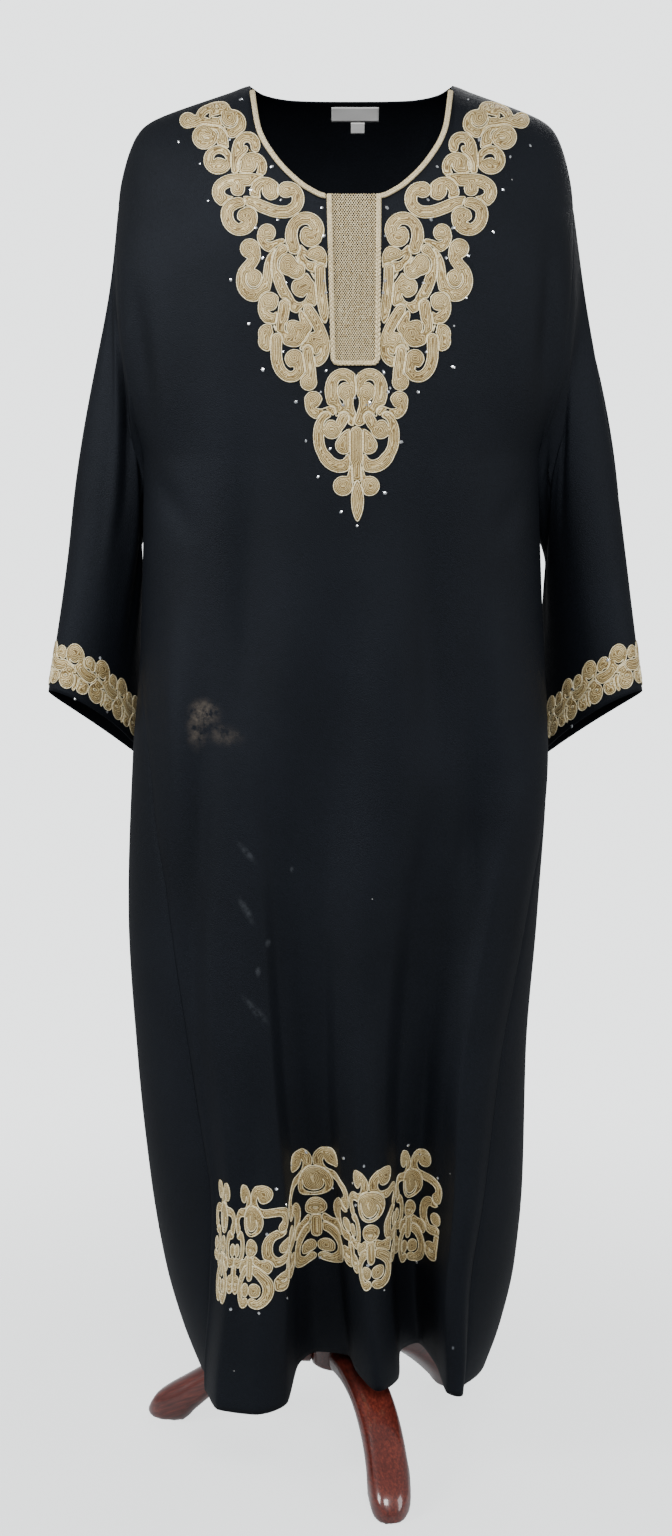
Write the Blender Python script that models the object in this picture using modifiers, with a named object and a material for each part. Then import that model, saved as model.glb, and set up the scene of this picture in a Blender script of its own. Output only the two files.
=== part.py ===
# Embroidered kaftan, standing on a limbless dress form with a three-legged wooden stand.
# Metres, +Z up. +X is the viewer's right, -Y is the front of the garment.
# While the pieces are made, X = Y = 0 is the axis of the stand's pole and Z = 0 is the floor.

import math

import bmesh
import bpy
import numpy as np
from mathutils import Vector
from mathutils.bvhtree import BVHTree
from mathutils.geometry import delaunay_2d_cdt

for old in list(bpy.data.objects):
    bpy.data.objects.remove(old)

# Driving dimensions
WALL = 0.0016             # thickness of the cloth walls
SEAM = 0.0003             # gap left between pieces that are sewn together
LIFT = 0.0005             # gap left under what is laid on the cloth
FORM_GAP = 0.0011         # gap between the cloth and the shoulders that carry it
APPLIQUE = 0.0012         # height of the corded embroidery over the cloth
TIP_HALF = 0.2455         # half the width across the dropped shoulders
TIP_HEIGHT = 1.395        # height of the dropped shoulder points
NECK_HALF = 0.106         # half the width of the neck opening
ROUNDING = 0.18           # height over which the cloth rounds over the shoulders
ARMHOLE_DEPTH = 0.064     # how far the armhole seams stand from the shoulder line
FRONT_SHIFT = 0.007       # the centre front hangs a little to the viewer's right
SQUARENESS = 2.3          # exponent of the body's rounded outline
POLE_RADIUS = 0.0125
HUB_RADIUS = 0.033
FORM_BOTTOM = 0.745

# Outline of the hanging body, seen from the front (left, right) and from the side (front, back)
BODY = (
    # height, left, right, front, back
    (0.090, -0.158, 0.165, 0.146, 0.132),
    (0.150, -0.181, 0.186, 0.146, 0.140),
    (0.220, -0.200, 0.201, 0.146, 0.148),
    (0.320, -0.216, 0.209, 0.147, 0.150),
    (0.460, -0.229, 0.211, 0.146, 0.150),
    (0.620, -0.237, 0.222, 0.142, 0.146),
    (0.800, -0.230, 0.231, 0.138, 0.140),
    (0.900, -0.221, 0.2265, 0.136, 0.137),
    (1.000, -0.2165, 0.2215, 0.134, 0.134),
    (1.130, -0.2145, 0.217, 0.133, 0.130),
    (1.200, -0.224, 0.232, 0.132, 0.126),
    (1.300, -0.234, 0.246, 0.130, 0.122),
    (1.395, -0.239, 0.252, 0.125, 0.115),
)

# Shoulder line from the neck to the dropped shoulder point
RIDGE = (
    # distance from the middle, height
    (0.000, 1.5240),
    (0.080, 1.5230),
    (0.106, 1.5210),
    (0.130, 1.5130),
    (0.160, 1.5030),
    (0.190, 1.4925),
    (0.2075, 1.4850),
    (0.2185, 1.4775),
    (0.2265, 1.4670),
    (0.2335, 1.4510),
    (0.2395, 1.4310),
    (0.2435, 1.4120),
    (0.2455, 1.3950),
)

# Edges of the neck opening
NECK = (
    # distance from the middle, front height, back height
    (0.000, 1.3965, 1.5120),
    (0.027, 1.3965, 1.5120),
    (0.045, 1.4040, 1.5122),
    (0.064, 1.4190, 1.5127),
    (0.082, 1.4400, 1.5145),
    (0.096, 1.4660, 1.5172),
    (0.106, 1.5210, 1.5210),
)

# Where the side seams run, as an angle from the centre front round the body
SIDE_SEAMS = (
    # height, left degrees, right degrees
    (0.090, 58.0, 53.0),
    (0.220, 45.0, 46.0),
    (0.340, 40.0, 51.0),
    (0.400, 41.5, 54.0),
    (0.510, 45.0, 60.0),
    (0.665, 52.5, 72.0),
    (0.735, 59.0, 82.0),
    (0.800, 64.0, 90.0),
    (0.880, 76.0, 90.0),
    (0.950, 90.0, 90.0),
    (1.400, 90.0, 90.0),
)

# Where the front's folds stand at the hem, and how high the hem hangs there
FRONT_FOLDS = (
    # share of the half width, across, depth, hem height
    (-0.84, -0.150, -0.105, 0.098),
    (-0.68, -0.134, -0.149, 0.095),
    (-0.52, -0.096, -0.160, 0.094),
    (-0.38, -0.058, -0.140, 0.098),
    (-0.30, -0.045, -0.075, 0.119),
    (-0.20, -0.022, -0.053, 0.1265),
    (-0.09, 0.012, -0.061, 0.125),
    (0.00, 0.021, -0.098, 0.118),
    (0.10, 0.043, -0.129, 0.108),
    (0.21, 0.066, -0.098, 0.109),
    (0.32, 0.072, -0.020, 0.115),
    (0.44, 0.090, 0.000, 0.115),
    (0.55, 0.108, -0.050, 0.110),
    (0.68, 0.119, -0.118, 0.101),
    (0.84, 0.135, -0.124, 0.100),
)

# The same for the back, as a push away from its plain outline
BACK_FOLDS = (
    # share of the half width, push across, push outwards, hem height
    (-0.75, 0.000, 0.000, 0.101),
    (-0.50, 0.006, 0.004, 0.101),
    (-0.36, -0.002, 0.014, 0.100),
    (-0.19, 0.008, -0.040, 0.108),
    (-0.03, 0.002, 0.014, 0.100),
    (0.15, -0.008, -0.044, 0.108),
    (0.33, 0.002, 0.012, 0.100),
    (0.52, -0.004, -0.012, 0.102),
    (0.75, 0.000, 0.000, 0.101),
)
SEAM_HEM = 0.101          # hem height at the side seams

# How far the folds have opened at each height
FOLD_GROWTH = (
    # height, share
    (0.10, 1.00),
    (0.15, 0.80),
    (0.22, 0.60),
    (0.35, 0.43),
    (0.50, 0.32),
    (0.65, 0.21),
    (0.80, 0.12),
    (0.95, 0.04),
    (1.10, 0.00),
)

# The hanging sleeves: their outer fold, their inner fold and half their depth
SLEEVES = (
    # share, outer left, outer right, outer depth, outer height,
    # inner left, inner right, inner depth, inner height, half depth
    (0.00, -0.2390, 0.2520, 0.000, 1.395, -0.2145, 0.2170, 0.000, 1.131, 0.060),
    (0.12, -0.2455, 0.2610, -0.004, 1.330, -0.2225, 0.2250, 0.014, 1.104, 0.052),
    (0.30, -0.2550, 0.2730, -0.010, 1.235, -0.2300, 0.2340, 0.036, 1.045, 0.043),
    (0.60, -0.2760, 0.2960, -0.016, 1.075, -0.2290, 0.2330, 0.062, 0.945, 0.035),
    (1.00, -0.3145, 0.3285, -0.020, 0.871, -0.2220, 0.2260, 0.082, 0.800, 0.031),
)

# Cloth cells: the front's and back's columns at the shoulder line, and the rows
FRONT_COLUMNS = (0.021, 0.045, 0.068, 0.089, NECK_HALF, 0.128, 0.153, 0.179, 0.2035,
                 0.2215, 0.2340, 0.2415, TIP_HALF)
BACK_COLUMNS = (0.028, 0.056, 0.083, NECK_HALF, 0.134, 0.164, 0.191, 0.2130, 0.2300,
                0.2410, TIP_HALF)
SHOULDER_ROWS = 6
SKIRT_ROWS = 20
ROW_GROWTH = 1.1          # rows grow a little longer towards the hem
UNDERARM_ROW = 8
SLEEVE_ROWS = 11

# Side of the yoke's embroidery: round curls and the strands that join them,
# in millimetres from the centre front and below the neck point
YOKE_CURLS = (
    # across, below, radius
    (169, 51, 10), (129, 52, 18), (152, 67, 14), (111, 76, 13), (140, 90, 15),
    (109, 96, 18), (86, 123, 15), (69, 123, 13), (115, 149, 20), (90, 166, 10),
    (46, 164, 15), (108, 181, 10), (106, 214, 17), (72, 197, 10), (54, 221, 10),
    (91, 236, 12), (91, 272, 12), (64, 264, 12), (65, 292, 11), (41, 279, 10),
    (48, 318, 8),
)
YOKE_STRANDS = (
    # width, points
    (13, ((172, 50), (152, 45), (133, 38))),
    (12, ((125, 102), (121, 86), (118, 76))),
    (12, ((95, 113), (118, 111), (139, 117), (140, 129), (118, 134), (93, 139), (70, 144), (58, 134))),
    (12, ((58, 134), (59, 121), (69, 116))),
    (11, ((130, 134), (133, 152), (120, 164))),
    (11, ((96, 172), (87, 180), (72, 178), (64, 157), (51, 149), (38, 160), (38, 172))),
    (11, ((77, 178), (81, 202), (95, 228), (108, 234))),
    (10, ((108, 184), (102, 195), (115, 207))),
    (12, ((81, 188), (81, 208), (72, 228), (56, 241), (44, 233), (39, 212), (56, 194), (60, 174))),
    (10, ((41, 195), (38, 234), (37, 262), (39, 288), (46, 297), (53, 282))),
    (11, ((89, 248), (72, 246), (60, 250), (51, 264), (56, 280), (69, 280), (77, 264), (75, 246))),
    (11, ((80, 254), (81, 280), (77, 303), (66, 311), (53, 303), (56, 287))),
    (11, ((46, 284), (47, 305), (48, 320))),
)
MEDALLION_CURLS = (
    (43, 335, 9), (10, 325, 9), (25, 366, 10), (11, 383, 9), (16, 424, 9),
)
MEDALLION_STRANDS = (
    (12, ((43, 328), (46, 341), (36, 350), (22, 346), (25, 325), (16, 309), (4, 317), (6, 336), (11, 352), (20, 361))),
    (12, ((27, 361), (37, 367), (37, 387), (22, 403), (6, 399), (0, 383))),
    (10, ((0, 404), (6, 417), (16, 424))),
)
LEAF = (11, ((0, 396), (0, 425), (0, 457)))

# One repeat of the hem's embroidery, in millimetres across and above the hem
HEM_REPEAT = 92           # width of a repeat
HEM_CURLS = (
    (14, 236, 10), (-14, 198, 17), (26, 158, 16), (14, 128, 16),
)
HEM_STRANDS = (
    (13, ((14, 236), (6, 218), (30, 208), (36, 188), (22, 172))),
    (13, ((-2, 204), (8, 214))),
    (13, ((-16, 190), (-24, 168), (-10, 150), (12, 142))),
)
HEM_CENTRES = (-266, -174, -82, 10, 102)

# One repeat of the cuffs' embroidery, in millimetres round and above the cuff's edge
CUFF_REPEAT = 52
CUFF_CURLS = (
    (-4, 60, 15), (11, 29, 14),
)
CUFF_STRANDS = (
    (14, ((-30, 44), (0, 45), (30, 44))),
)

# The carved legs: height of their top and underside, and half their width
LEG_ANGLES = {"leg_front": 14.0, "leg_left": -106.0, "leg_right_back": 134.0}
LEG = (
    # distance from the pole, top, underside, half width
    (0.033, 0.119, 0.089, 0.0150),
    (0.060, 0.117, 0.087, 0.0155),
    (0.080, 0.1115, 0.082, 0.0160),
    (0.100, 0.104, 0.073, 0.0165),
    (0.120, 0.094, 0.060, 0.0170),
    (0.150, 0.077, 0.036, 0.0180),
    (0.175, 0.060, 0.013, 0.0195),
    (0.190, 0.050, -0.002, 0.0210),
    (0.210, 0.037, -0.006, 0.0205),
    (0.226, 0.024, -0.004, 0.0150),
    (0.234, 0.010, 0.001, 0.0070),
)

LEG_CAP = 0.14            # share of a leg's rings that close its end at the hub
LEG_TIP = 0.93            # share before its rounded toe
LEG_SQUARE = 0.75         # power that squares its section
LEG_ROOT = 0.12           # share of its length that is hollowed to the hub's round

# The dress form under the garment
FORM = (
    # height, half width, half depth
    (0.745, 0.150, 0.088),
    (0.765, 0.166, 0.100),
    (0.860, 0.172, 0.104),
    (0.960, 0.155, 0.096),
    (1.060, 0.132, 0.088),
    (1.160, 0.140, 0.096),
    (1.250, 0.158, 0.110),
    (1.330, 0.172, 0.108),
    (1.400, 0.185, 0.096),
)
FORM_SHOULDER_HALF = 0.208   # half the width over the form's shoulders
FORM_DEPTH_SHARE = 0.75      # share of the cloth's depth that the form's shoulders take
FORM_REACH = 0.2455          # distance from the middle where the cloth's depth ends
FORM_SCOOP = (
    # distance from the middle, height of the hollow between the form's shoulders
    (0.000, 1.3680),
    (0.040, 1.3720),
    (0.065, 1.3880),
    (0.086, 1.4180),
    (0.106, 1.4640),
    (0.124, 1.5300),
    (0.145, 1.6500),
    (0.250, 2.5000),
)
FORM_ROUND = 0.012           # how softly the hollow meets the shoulders
FORM_TOP_PART = 0.50         # share of the form's rings that make its top
FORM_BASE_PART = 0.97        # share above its flat base
FORM_SQUARE = 0.85           # power that squares its sections
FORM_BLEND = 3.2             # how soon the sides leave the shoulders' outline
SHOULDER_SLOPE = math.radians(22)
SHOULDER_DROP = 0.30         # how far the form's shoulders fall towards their front and back
TIP_START = 0.19             # distance from the middle where the form's tips fall away
TIP_FALL = 0.6

# Colours, roughness and metallic value
FINISHES = {
    "black_crepe": ((0.012, 0.014, 0.018), 0.85, 0.0),
    "gold_embroidery": ((0.50, 0.40, 0.24), 0.50, 0.35),
    "gold_braid": ((0.62, 0.53, 0.36), 0.50, 0.35),
    "gold_net": ((0.45, 0.36, 0.23), 0.55, 0.30),
    "white_satin": ((0.78, 0.78, 0.76), 0.60, 0.0),
    "form_cover": ((0.07, 0.07, 0.075), 0.80, 0.0),
    "steel_pole": ((0.45, 0.45, 0.46), 0.35, 1.0),
    "stained_wood": ((0.16, 0.045, 0.028), 0.22, 0.0),
}


# Small tools
def column(table, index):
    return np.array([row[index] for row in table], dtype=float)


def through(value, places, heights):
    """A smooth curve through the given heights that never swings past them, read at value."""
    value = np.asarray(value, dtype=float)
    rises = np.diff(heights) / np.diff(places)
    same_way = rises[1:] * rises[:-1] > 0
    both = np.where(same_way, rises[1:] + rises[:-1], 1.0)
    middle = np.where(same_way, 2 * rises[1:] * rises[:-1] / both, 0.0)
    slopes = np.concatenate((rises[:1], middle, rises[-1:]))
    i = np.clip(np.searchsorted(places, value) - 1, 0, len(places) - 2)
    step = places[i + 1] - places[i]
    t = np.clip((value - places[i]) / step, 0.0, 1.0)
    return ((2 * t**3 - 3 * t**2 + 1) * heights[i] + (t**3 - 2 * t**2 + t) * step * slopes[i]
            + (3 * t**2 - 2 * t**3) * heights[i + 1] + (t**3 - t**2) * step * slopes[i + 1])


def read(table, value, index):
    return through(value, column(table, 0), column(table, index))


def unit(vectors):
    length = np.linalg.norm(vectors, axis=-1, keepdims=True)
    return vectors / np.maximum(length, 1e-12)


def finish(name):
    material = bpy.data.materials.get(name)
    if material is None:
        colour, roughness, metallic = FINISHES[name]
        material = bpy.data.materials.new(name)
        material.use_nodes = True
        shader = material.node_tree.nodes["Principled BSDF"]
        shader.inputs["Base Color"].default_value = (*colour, 1.0)
        shader.inputs["Roughness"].default_value = roughness
        shader.inputs["Metallic"].default_value = metallic
        material.diffuse_color = (*colour, 1.0)
    return material


def add_object(name, bm, finish_name):
    mesh = bpy.data.meshes.new(name)
    bmesh.ops.recalc_face_normals(bm, faces=bm.faces[:])
    if bm.calc_volume(signed=True) < 0:
        bmesh.ops.reverse_faces(bm, faces=bm.faces[:])
    bm.to_mesh(mesh)
    bm.free()
    mesh.materials.append(finish(finish_name))
    mesh.shade_smooth()
    piece = bpy.data.objects.new(name, mesh)
    parts.objects.link(piece)
    piece.parent = stand_axis
    return piece


# The body's outline at a height: round is the share of the way from the centre to a side seam
def seam_angle(height, share):
    left = read(SIDE_SEAMS, height, 1)
    right = read(SIDE_SEAMS, height, 2)
    return np.radians(np.where(share < 0, left, right))


def outline(height, angle, side=1):
    """Point of the plain hanging outline at an angle from the centre front."""
    left = read(BODY, height, 1)
    right = read(BODY, height, 2)
    half = (right - left) / 2
    across = np.sin(angle)
    forward = np.cos(angle) > -1e-6 * side
    depth = np.where(forward, -read(BODY, height, 3), read(BODY, height, 4))
    seam_middle = (TIP_HEIGHT + UNDERARM) / 2
    rise = np.clip(1 - ((height - seam_middle) / (TIP_HEIGHT - seam_middle)) ** 2, 0.0, 1.0)
    reach = ARMHOLE_DEPTH * np.sqrt(rise) / np.abs(depth)
    kept = (1 - np.clip(reach, 0, 0.95) ** SQUARENESS) ** (1 / SQUARENESS)
    profile = np.clip(1 - (np.abs(across) * kept) ** SQUARENESS, 0.0, 1.0) ** (1 / SQUARENESS)
    shift = FRONT_SHIFT * np.clip((height - 0.9) / 0.4, 0.0, 1.0) * (1 - across**2)
    return (left + right) / 2 + half * across + shift, depth * profile


def front_pushes(share):
    """How far the folds stand from the plain outline at the hem."""
    rows = np.array(FRONT_FOLDS)
    heights = np.full(len(rows), SEAM_HEM)
    plain_x, plain_y = outline(heights, rows[:, 0] * seam_angle(heights, rows[:, 0]))
    places = np.concatenate(([-1.0], rows[:, 0], [1.0]))
    push_x = np.concatenate(([0.0], rows[:, 1] - plain_x, [0.0]))
    push_y = np.concatenate(([0.0], rows[:, 2] - plain_y, [0.0]))
    return through(share, places, push_x), through(share, places, push_y)


def back_pushes(share):
    rows = np.array(BACK_FOLDS)
    places = np.concatenate(([-1.0], rows[:, 0], [1.0]))
    push_x = np.concatenate(([0.0], rows[:, 1], [0.0]))
    push_y = np.concatenate(([0.0], rows[:, 2], [0.0]))
    return through(share, places, push_x), through(share, places, push_y)


def hem_height(folds, share):
    rows = np.array(folds)
    places = np.concatenate(([-1.0], rows[:, 0], [1.0]))
    heights = np.concatenate(([SEAM_HEM], rows[:, 3], [SEAM_HEM]))
    return through(share, places, heights)


def panel(side, share, row):
    """Point of the front (side 1) or back (side -1): share -1..1 across, row 0..1 down."""
    share, row = np.broadcast_arrays(np.asarray(share, float), np.asarray(row, float))
    across = np.abs(np.sin(share * math.pi / 2)) * TIP_HALF
    ridge = read(RIDGE, across, 1)
    neck = np.where(across < NECK_HALF, read(NECK, across, 1 if side > 0 else 2), ridge)
    first = np.arccos(np.clip(1 - np.maximum(ridge - neck, 0) / ROUNDING, -1, 1))
    part = row * (SHOULDER_ROWS + SKIRT_ROWS)
    turn = first + (math.pi / 2 - first) * np.clip(part / SHOULDER_ROWS, 0.0, 1.0)
    down = np.clip((part - SHOULDER_ROWS) / SKIRT_ROWS, 0.0, 1.0) ** ROW_GROWTH
    hem = hem_height(FRONT_FOLDS if side > 0 else BACK_FOLDS, share)
    height = ridge - ROUNDING * (1 - np.cos(turn))
    height = height + (hem - (ridge - ROUNDING)) * down
    seam = seam_angle(height, share)
    angle = share * seam if side > 0 else math.pi - share * (math.pi - seam)
    x, y = outline(height, angle, side)
    y = y * np.sin(turn) ** (1.0 if side > 0 else 0.8)
    push_x, push_y = front_pushes(share) if side > 0 else back_pushes(share)
    growth = read(FOLD_GROWTH, height, 1)
    return np.stack([x + growth * push_x, y + growth * push_y, height], axis=-1)


def panel_normal(side, share, row):
    h = 2e-3
    share, row = np.broadcast_arrays(np.asarray(share, float), np.asarray(row, float))
    along = panel(side, np.clip(share + h, -1, 1), row) - panel(side, np.clip(share - h, -1, 1), row)
    down = panel(side, share, np.clip(row + h, 0, 1)) - panel(side, share, np.clip(row - h, 0, 1))
    return unit(np.cross(down, along) * side), unit(along)


# The underarm lies on a whole row of cells
UNDERARM = 1.131
ROWS = SHOULDER_ROWS + SKIRT_ROWS
for _ in range(4):
    UNDERARM = float(panel(1, 1.0, UNDERARM_ROW / ROWS)[2])


# The sleeves, round 0..1 from the shoulder point by the front, and share 0..1 down
def armhole(hand, turn):
    """Point of the armhole seam at turn 0..1 round it."""
    turn = np.mod(np.asarray(turn, float), 1.0)
    front = turn <= 0.5
    row = np.where(front, turn, 1 - turn) * 2 * UNDERARM_ROW / ROWS
    share = np.full_like(row, float(hand))
    return np.where(front[..., None], panel(1, share, row), panel(-1, share, row))


def sleeve(hand, turn, share):
    turn, share = np.broadcast_arrays(np.asarray(turn, float), np.asarray(share, float))
    pick = 2 if hand > 0 else 1
    outer = np.stack([read(SLEEVES, share, pick), read(SLEEVES, share, 3), read(SLEEVES, share, 4)], -1)
    inner = np.stack([read(SLEEVES, share, pick + 4), read(SLEEVES, share, 7), read(SLEEVES, share, 8)], -1)
    depth = read(SLEEVES, share, 9)
    angle = 2 * math.pi * turn
    high = (1 + np.cos(angle)) / 2
    first = SLEEVES[0]
    first_outer = np.array([first[pick], first[3], first[4]])
    first_inner = np.array([first[pick + 4], first[7], first[8]])
    from_seam = (armhole(hand, turn) + high[..., None] * (outer - first_outer)
                 + (1 - high)[..., None] * (inner - first_inner))
    half = (outer - inner) / 2
    forward = np.stack([half[..., 1] * hand, -half[..., 0] * hand], -1)
    forward = unit(forward)
    bulge = depth * np.sin(angle) * (1 + 0.4 * np.cos(angle))
    ring = (outer + inner) / 2 + np.cos(angle)[..., None] * half
    ring[..., 0] += bulge * forward[..., 0]
    ring[..., 1] += bulge * forward[..., 1]
    blend = np.clip(share / 0.6, 0.0, 1.0)
    blend = (blend * blend * (3 - 2 * blend))[..., None]
    return from_seam * (1 - blend) + ring * blend


def sleeve_normal(hand, turn, share):
    h = 2e-3
    turn, share = np.broadcast_arrays(np.asarray(turn, float), np.asarray(share, float))
    round_it = sleeve(hand, turn + h, share) - sleeve(hand, turn - h, share)
    down = sleeve(hand, turn, np.clip(share + h, 0, 1)) - sleeve(hand, turn, np.clip(share - h, 0, 1))
    return unit(np.cross(down, round_it) * -hand)


def armhole_frame(hand, turn):
    """Direction of the wall's thickness along the armhole seam, and the way across the seam."""
    turn = np.asarray(turn, float)
    h = 4e-3
    tangent = unit(armhole(hand, turn + h) - armhole(hand, turn - h))
    front = np.mod(turn, 1.0) <= 0.5
    row = np.where(front, turn, 1 - turn) * 2 * UNDERARM_ROW / ROWS
    share = np.full_like(row, float(hand))
    body = np.where(front[..., None], panel_normal(1, share, row)[0], panel_normal(-1, share, row)[0])
    own = sleeve_normal(hand, turn, np.full_like(turn, 0.004))
    lower = ((1 - np.cos(2 * math.pi * turn)) / 2) ** 4
    normal = unit(body + own + np.stack([0 * lower, 0 * lower, -0.5 * lower], -1))
    across = unit(np.cross(normal, tangent)) * hand
    normal = unit(np.cross(tangent, across)) * hand
    return normal, across


# Cloth walls: flat slabs of cells, draped
def slab(cells_across, cells_down):
    """A flat slab in cell numbers: x and y count the cells, z is 0 outside and 1 inside.

    Each cell is two triangles, and those left of the middle are cut the other way.
    """
    bm = bmesh.new()
    bmesh.ops.create_grid(bm, x_segments=cells_across, y_segments=cells_down, size=0.5)
    for vert in bm.verts:
        vert.co.x = round((vert.co.x + 0.5) * cells_across)
        vert.co.y = round((vert.co.y + 0.5) * cells_down)
    for face in bm.faces[:]:
        corners = {(vert.co.x, vert.co.y): vert for vert in face.verts}
        (i, j), turned = min(corners), min(corners)[0] < cells_across / 2
        first, last = ((i + 1, j), (i, j + 1)) if turned else ((i, j), (i + 1, j + 1))
        bmesh.utils.face_split(face, corners[first], corners[last])
    moved = bmesh.ops.extrude_face_region(bm, geom=bm.faces[:], use_keep_orig=True)["geom"]
    for item in moved:
        if isinstance(item, bmesh.types.BMVert):
            item.co.z = 1.0
    return bm


def cut_ends(bm, cells_across, turned_rows):
    """Cut the side ends' cells the way the ends of the pieces sewn to them are cut."""
    for face in bm.faces[:]:
        corners = {(round(vert.co.y), round(vert.co.z)): vert for vert in face.verts}
        across = {round(vert.co.x) for vert in face.verts}
        if len(face.verts) == 4 and across in ({0}, {cells_across}):
            j = min(corners)[0]
            first, last = ((j + 1, 0), (j, 1)) if j < turned_rows else ((j, 0), (j + 1, 1))
            bmesh.utils.face_split(face, corners[first], corners[last])
    return bm


def drape(bm, outer, inner):
    for vert in bm.verts:
        layer = inner if vert.co.z > 0.5 else outer
        vert.co = Vector(layer[round(vert.co.x), round(vert.co.y)])
    return bm


def column_shares(places):
    half = [math.asin(place / TIP_HALF) / (math.pi / 2) for place in places]
    return np.array([-share for share in reversed(half)] + [0.0] + half)


SHARES = column_shares(FRONT_COLUMNS)


def panel_cells(side):
    """Outer points and wall directions of the front's or back's cells, seam gaps included."""
    shares = SHARES if side > 0 else column_shares(BACK_COLUMNS)
    share, row = np.meshgrid(shares, np.arange(ROWS + 1) / ROWS, indexing="ij")
    points = panel(side, share, row)
    normals, along = panel_normal(side, share, row)
    if side < 0:
        other, _ = panel_normal(1, share, row)
    else:
        other, _ = panel_normal(-1, share, row)
    for edge, hand in ((0, -1), (len(shares) - 1, 1)):
        seam = slice(UNDERARM_ROW + 1, None)
        normals[edge, seam] = unit(normals[edge, seam] + other[edge, seam])
        points[edge, seam] -= hand * along[edge, seam] * SEAM * 0.55
        turn = np.arange(UNDERARM_ROW + 1) / (2 * UNDERARM_ROW)
        turn = turn if side > 0 else 1 - turn
        thick, across = armhole_frame(hand, turn)
        normals[edge, :UNDERARM_ROW + 1] = thick
        points[edge, :UNDERARM_ROW + 1] -= across * SEAM * 0.8
        points[edge, UNDERARM_ROW, 1] -= side * SEAM * 0.5
    points[:, 0, 1] -= side * SEAM * 0.5
    return points, normals


def panel_piece(name, side):
    points, normals = panel_cells(side)
    cells = len(points) - 1
    bm = cut_ends(slab(cells, ROWS), cells, 0 if side > 0 else UNDERARM_ROW)
    drape(bm, points, points - normals * WALL)
    add_object(name, bm, "black_crepe")
    return points, normals


def sleeve_cells(hand):
    turns = np.arange(2 * UNDERARM_ROW) / (2 * UNDERARM_ROW)
    turn, share = np.meshgrid(turns, np.arange(SLEEVE_ROWS + 1) / SLEEVE_ROWS, indexing="ij")
    points = sleeve(hand, turn, share)
    normals = sleeve_normal(hand, turn, share)
    thick, across = armhole_frame(hand, turns)
    normals[:, 0] = thick
    points[:, 0] += across * SEAM * 0.8
    return points, normals


def sleeve_piece(name, hand):
    """A tube wall: a ring whose section runs down the outside and back up the inside."""
    points, normals = sleeve_cells(hand)
    around, down = points.shape[:2]
    bpy.ops.mesh.primitive_torus_add(major_segments=around, minor_segments=2 * down)
    ring = bpy.context.object
    bm = bmesh.new()
    bm.from_mesh(ring.data)
    bm.verts.ensure_lookup_table()
    inner = points - normals * WALL
    for i in range(around):
        for j in range(down):
            bm.verts[i * 2 * down + j].co = Vector(points[i, j])
            bm.verts[i * 2 * down + 2 * down - 1 - j].co = Vector(inner[i, j])
    bpy.data.objects.remove(ring)
    for face in bm.faces[:]:
        rows = sorted(face.verts, key=lambda vert: vert.index)
        on_inside = min(vert.index % (2 * down) for vert in rows) >= down
        last_cell = rows[2].index - rows[0].index > 2 * down + 1
        first, last = (1, 2) if on_inside != last_cell else (0, 3)
        bmesh.utils.face_split(face, rows[first], rows[last])
    add_object(name, bm, "black_crepe")
    return points, normals


# Embroidery: flat outlines in cell numbers, joined, cut along the cells and laid on them
def facet(points, normals, across, down, wrap=False):
    """Point and direction on the cloth's flat cells at fractional cell numbers."""
    count = points.shape[0]
    i = int(math.floor(across + 1e-9))
    if not wrap:
        i = min(max(i, 0), count - 2)
    j = min(max(int(math.floor(down + 1e-9)), 0), points.shape[1] - 2)
    s, t = across - i, down - j
    turned = not wrap and i < (count - 1) / 2
    if turned:
        s = 1 - s
    corners = [(i, j), (i + 1, j), (i, j + 1), (i + 1, j + 1)]
    near, far, near_low, far_low = [corners[k] for k in ((1, 0, 3, 2) if turned else (0, 1, 2, 3))]
    if s >= t:
        weights = ((near, 1 - s), (far, s - t), (far_low, t))
    else:
        weights = ((near, 1 - t), (near_low, t - s), (far_low, s))
    places = [np.array(points[c[0] % count, c[1]]) for c, _ in weights]
    point = sum(w * place for (_, w), place in zip(weights, places))
    normal = sum(w * normals[c[0] % count, c[1]] for c, w in weights)
    flat = unit(np.cross(places[1] - places[0], places[2] - places[0]))
    return point, normal / max(abs(float(normal @ flat)), 0.4)


def curl(across, down, radius, sides=7):
    steps = [2 * math.pi * (k + 0.5) / sides for k in range(sides)]
    return [(across + radius * math.cos(a), down + radius * math.sin(a)) for a in steps]


def strand(width, points, step=26.0):
    """Outline of a band along a smooth line through the points, round at its ends."""
    places = np.array(points, float)
    gaps = np.hypot(*np.diff(places, axis=0).T)
    along = np.concatenate(([0.0], np.cumsum(gaps)))
    count = max(3, int(along[-1] / step) + 1)
    reads = np.linspace(0, along[-1], count + 1)
    line = np.stack([through(reads, along, places[:, 0]), through(reads, along, places[:, 1])], -1)
    direction = unit(np.gradient(line, axis=0))
    side = np.stack([-direction[:, 1], direction[:, 0]], -1) * width / 2
    side[0] *= 0.55
    side[-1] *= 0.55
    return [tuple(p) for p in line + side] + [tuple(p) for p in (line - side)[::-1]]


def inside(polygon, x, y):
    """Whether the outline winds round a place, its own overlaps included."""
    winding = 0
    for (x0, y0), (x1, y1) in zip(polygon, polygon[1:] + polygon[:1]):
        if (y0 > y) != (y1 > y) and x < (x1 - x0) * (y - y0) / (y1 - y0) + x0:
            winding += 1 if y1 > y0 else -1
    return winding != 0


def covered(polygons, triangle, points):
    middle = sum((points[k] for k in triangle), Vector((0, 0))) / 3
    return any(inside(polygon, middle.x, middle.y) for polygon in polygons)


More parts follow.
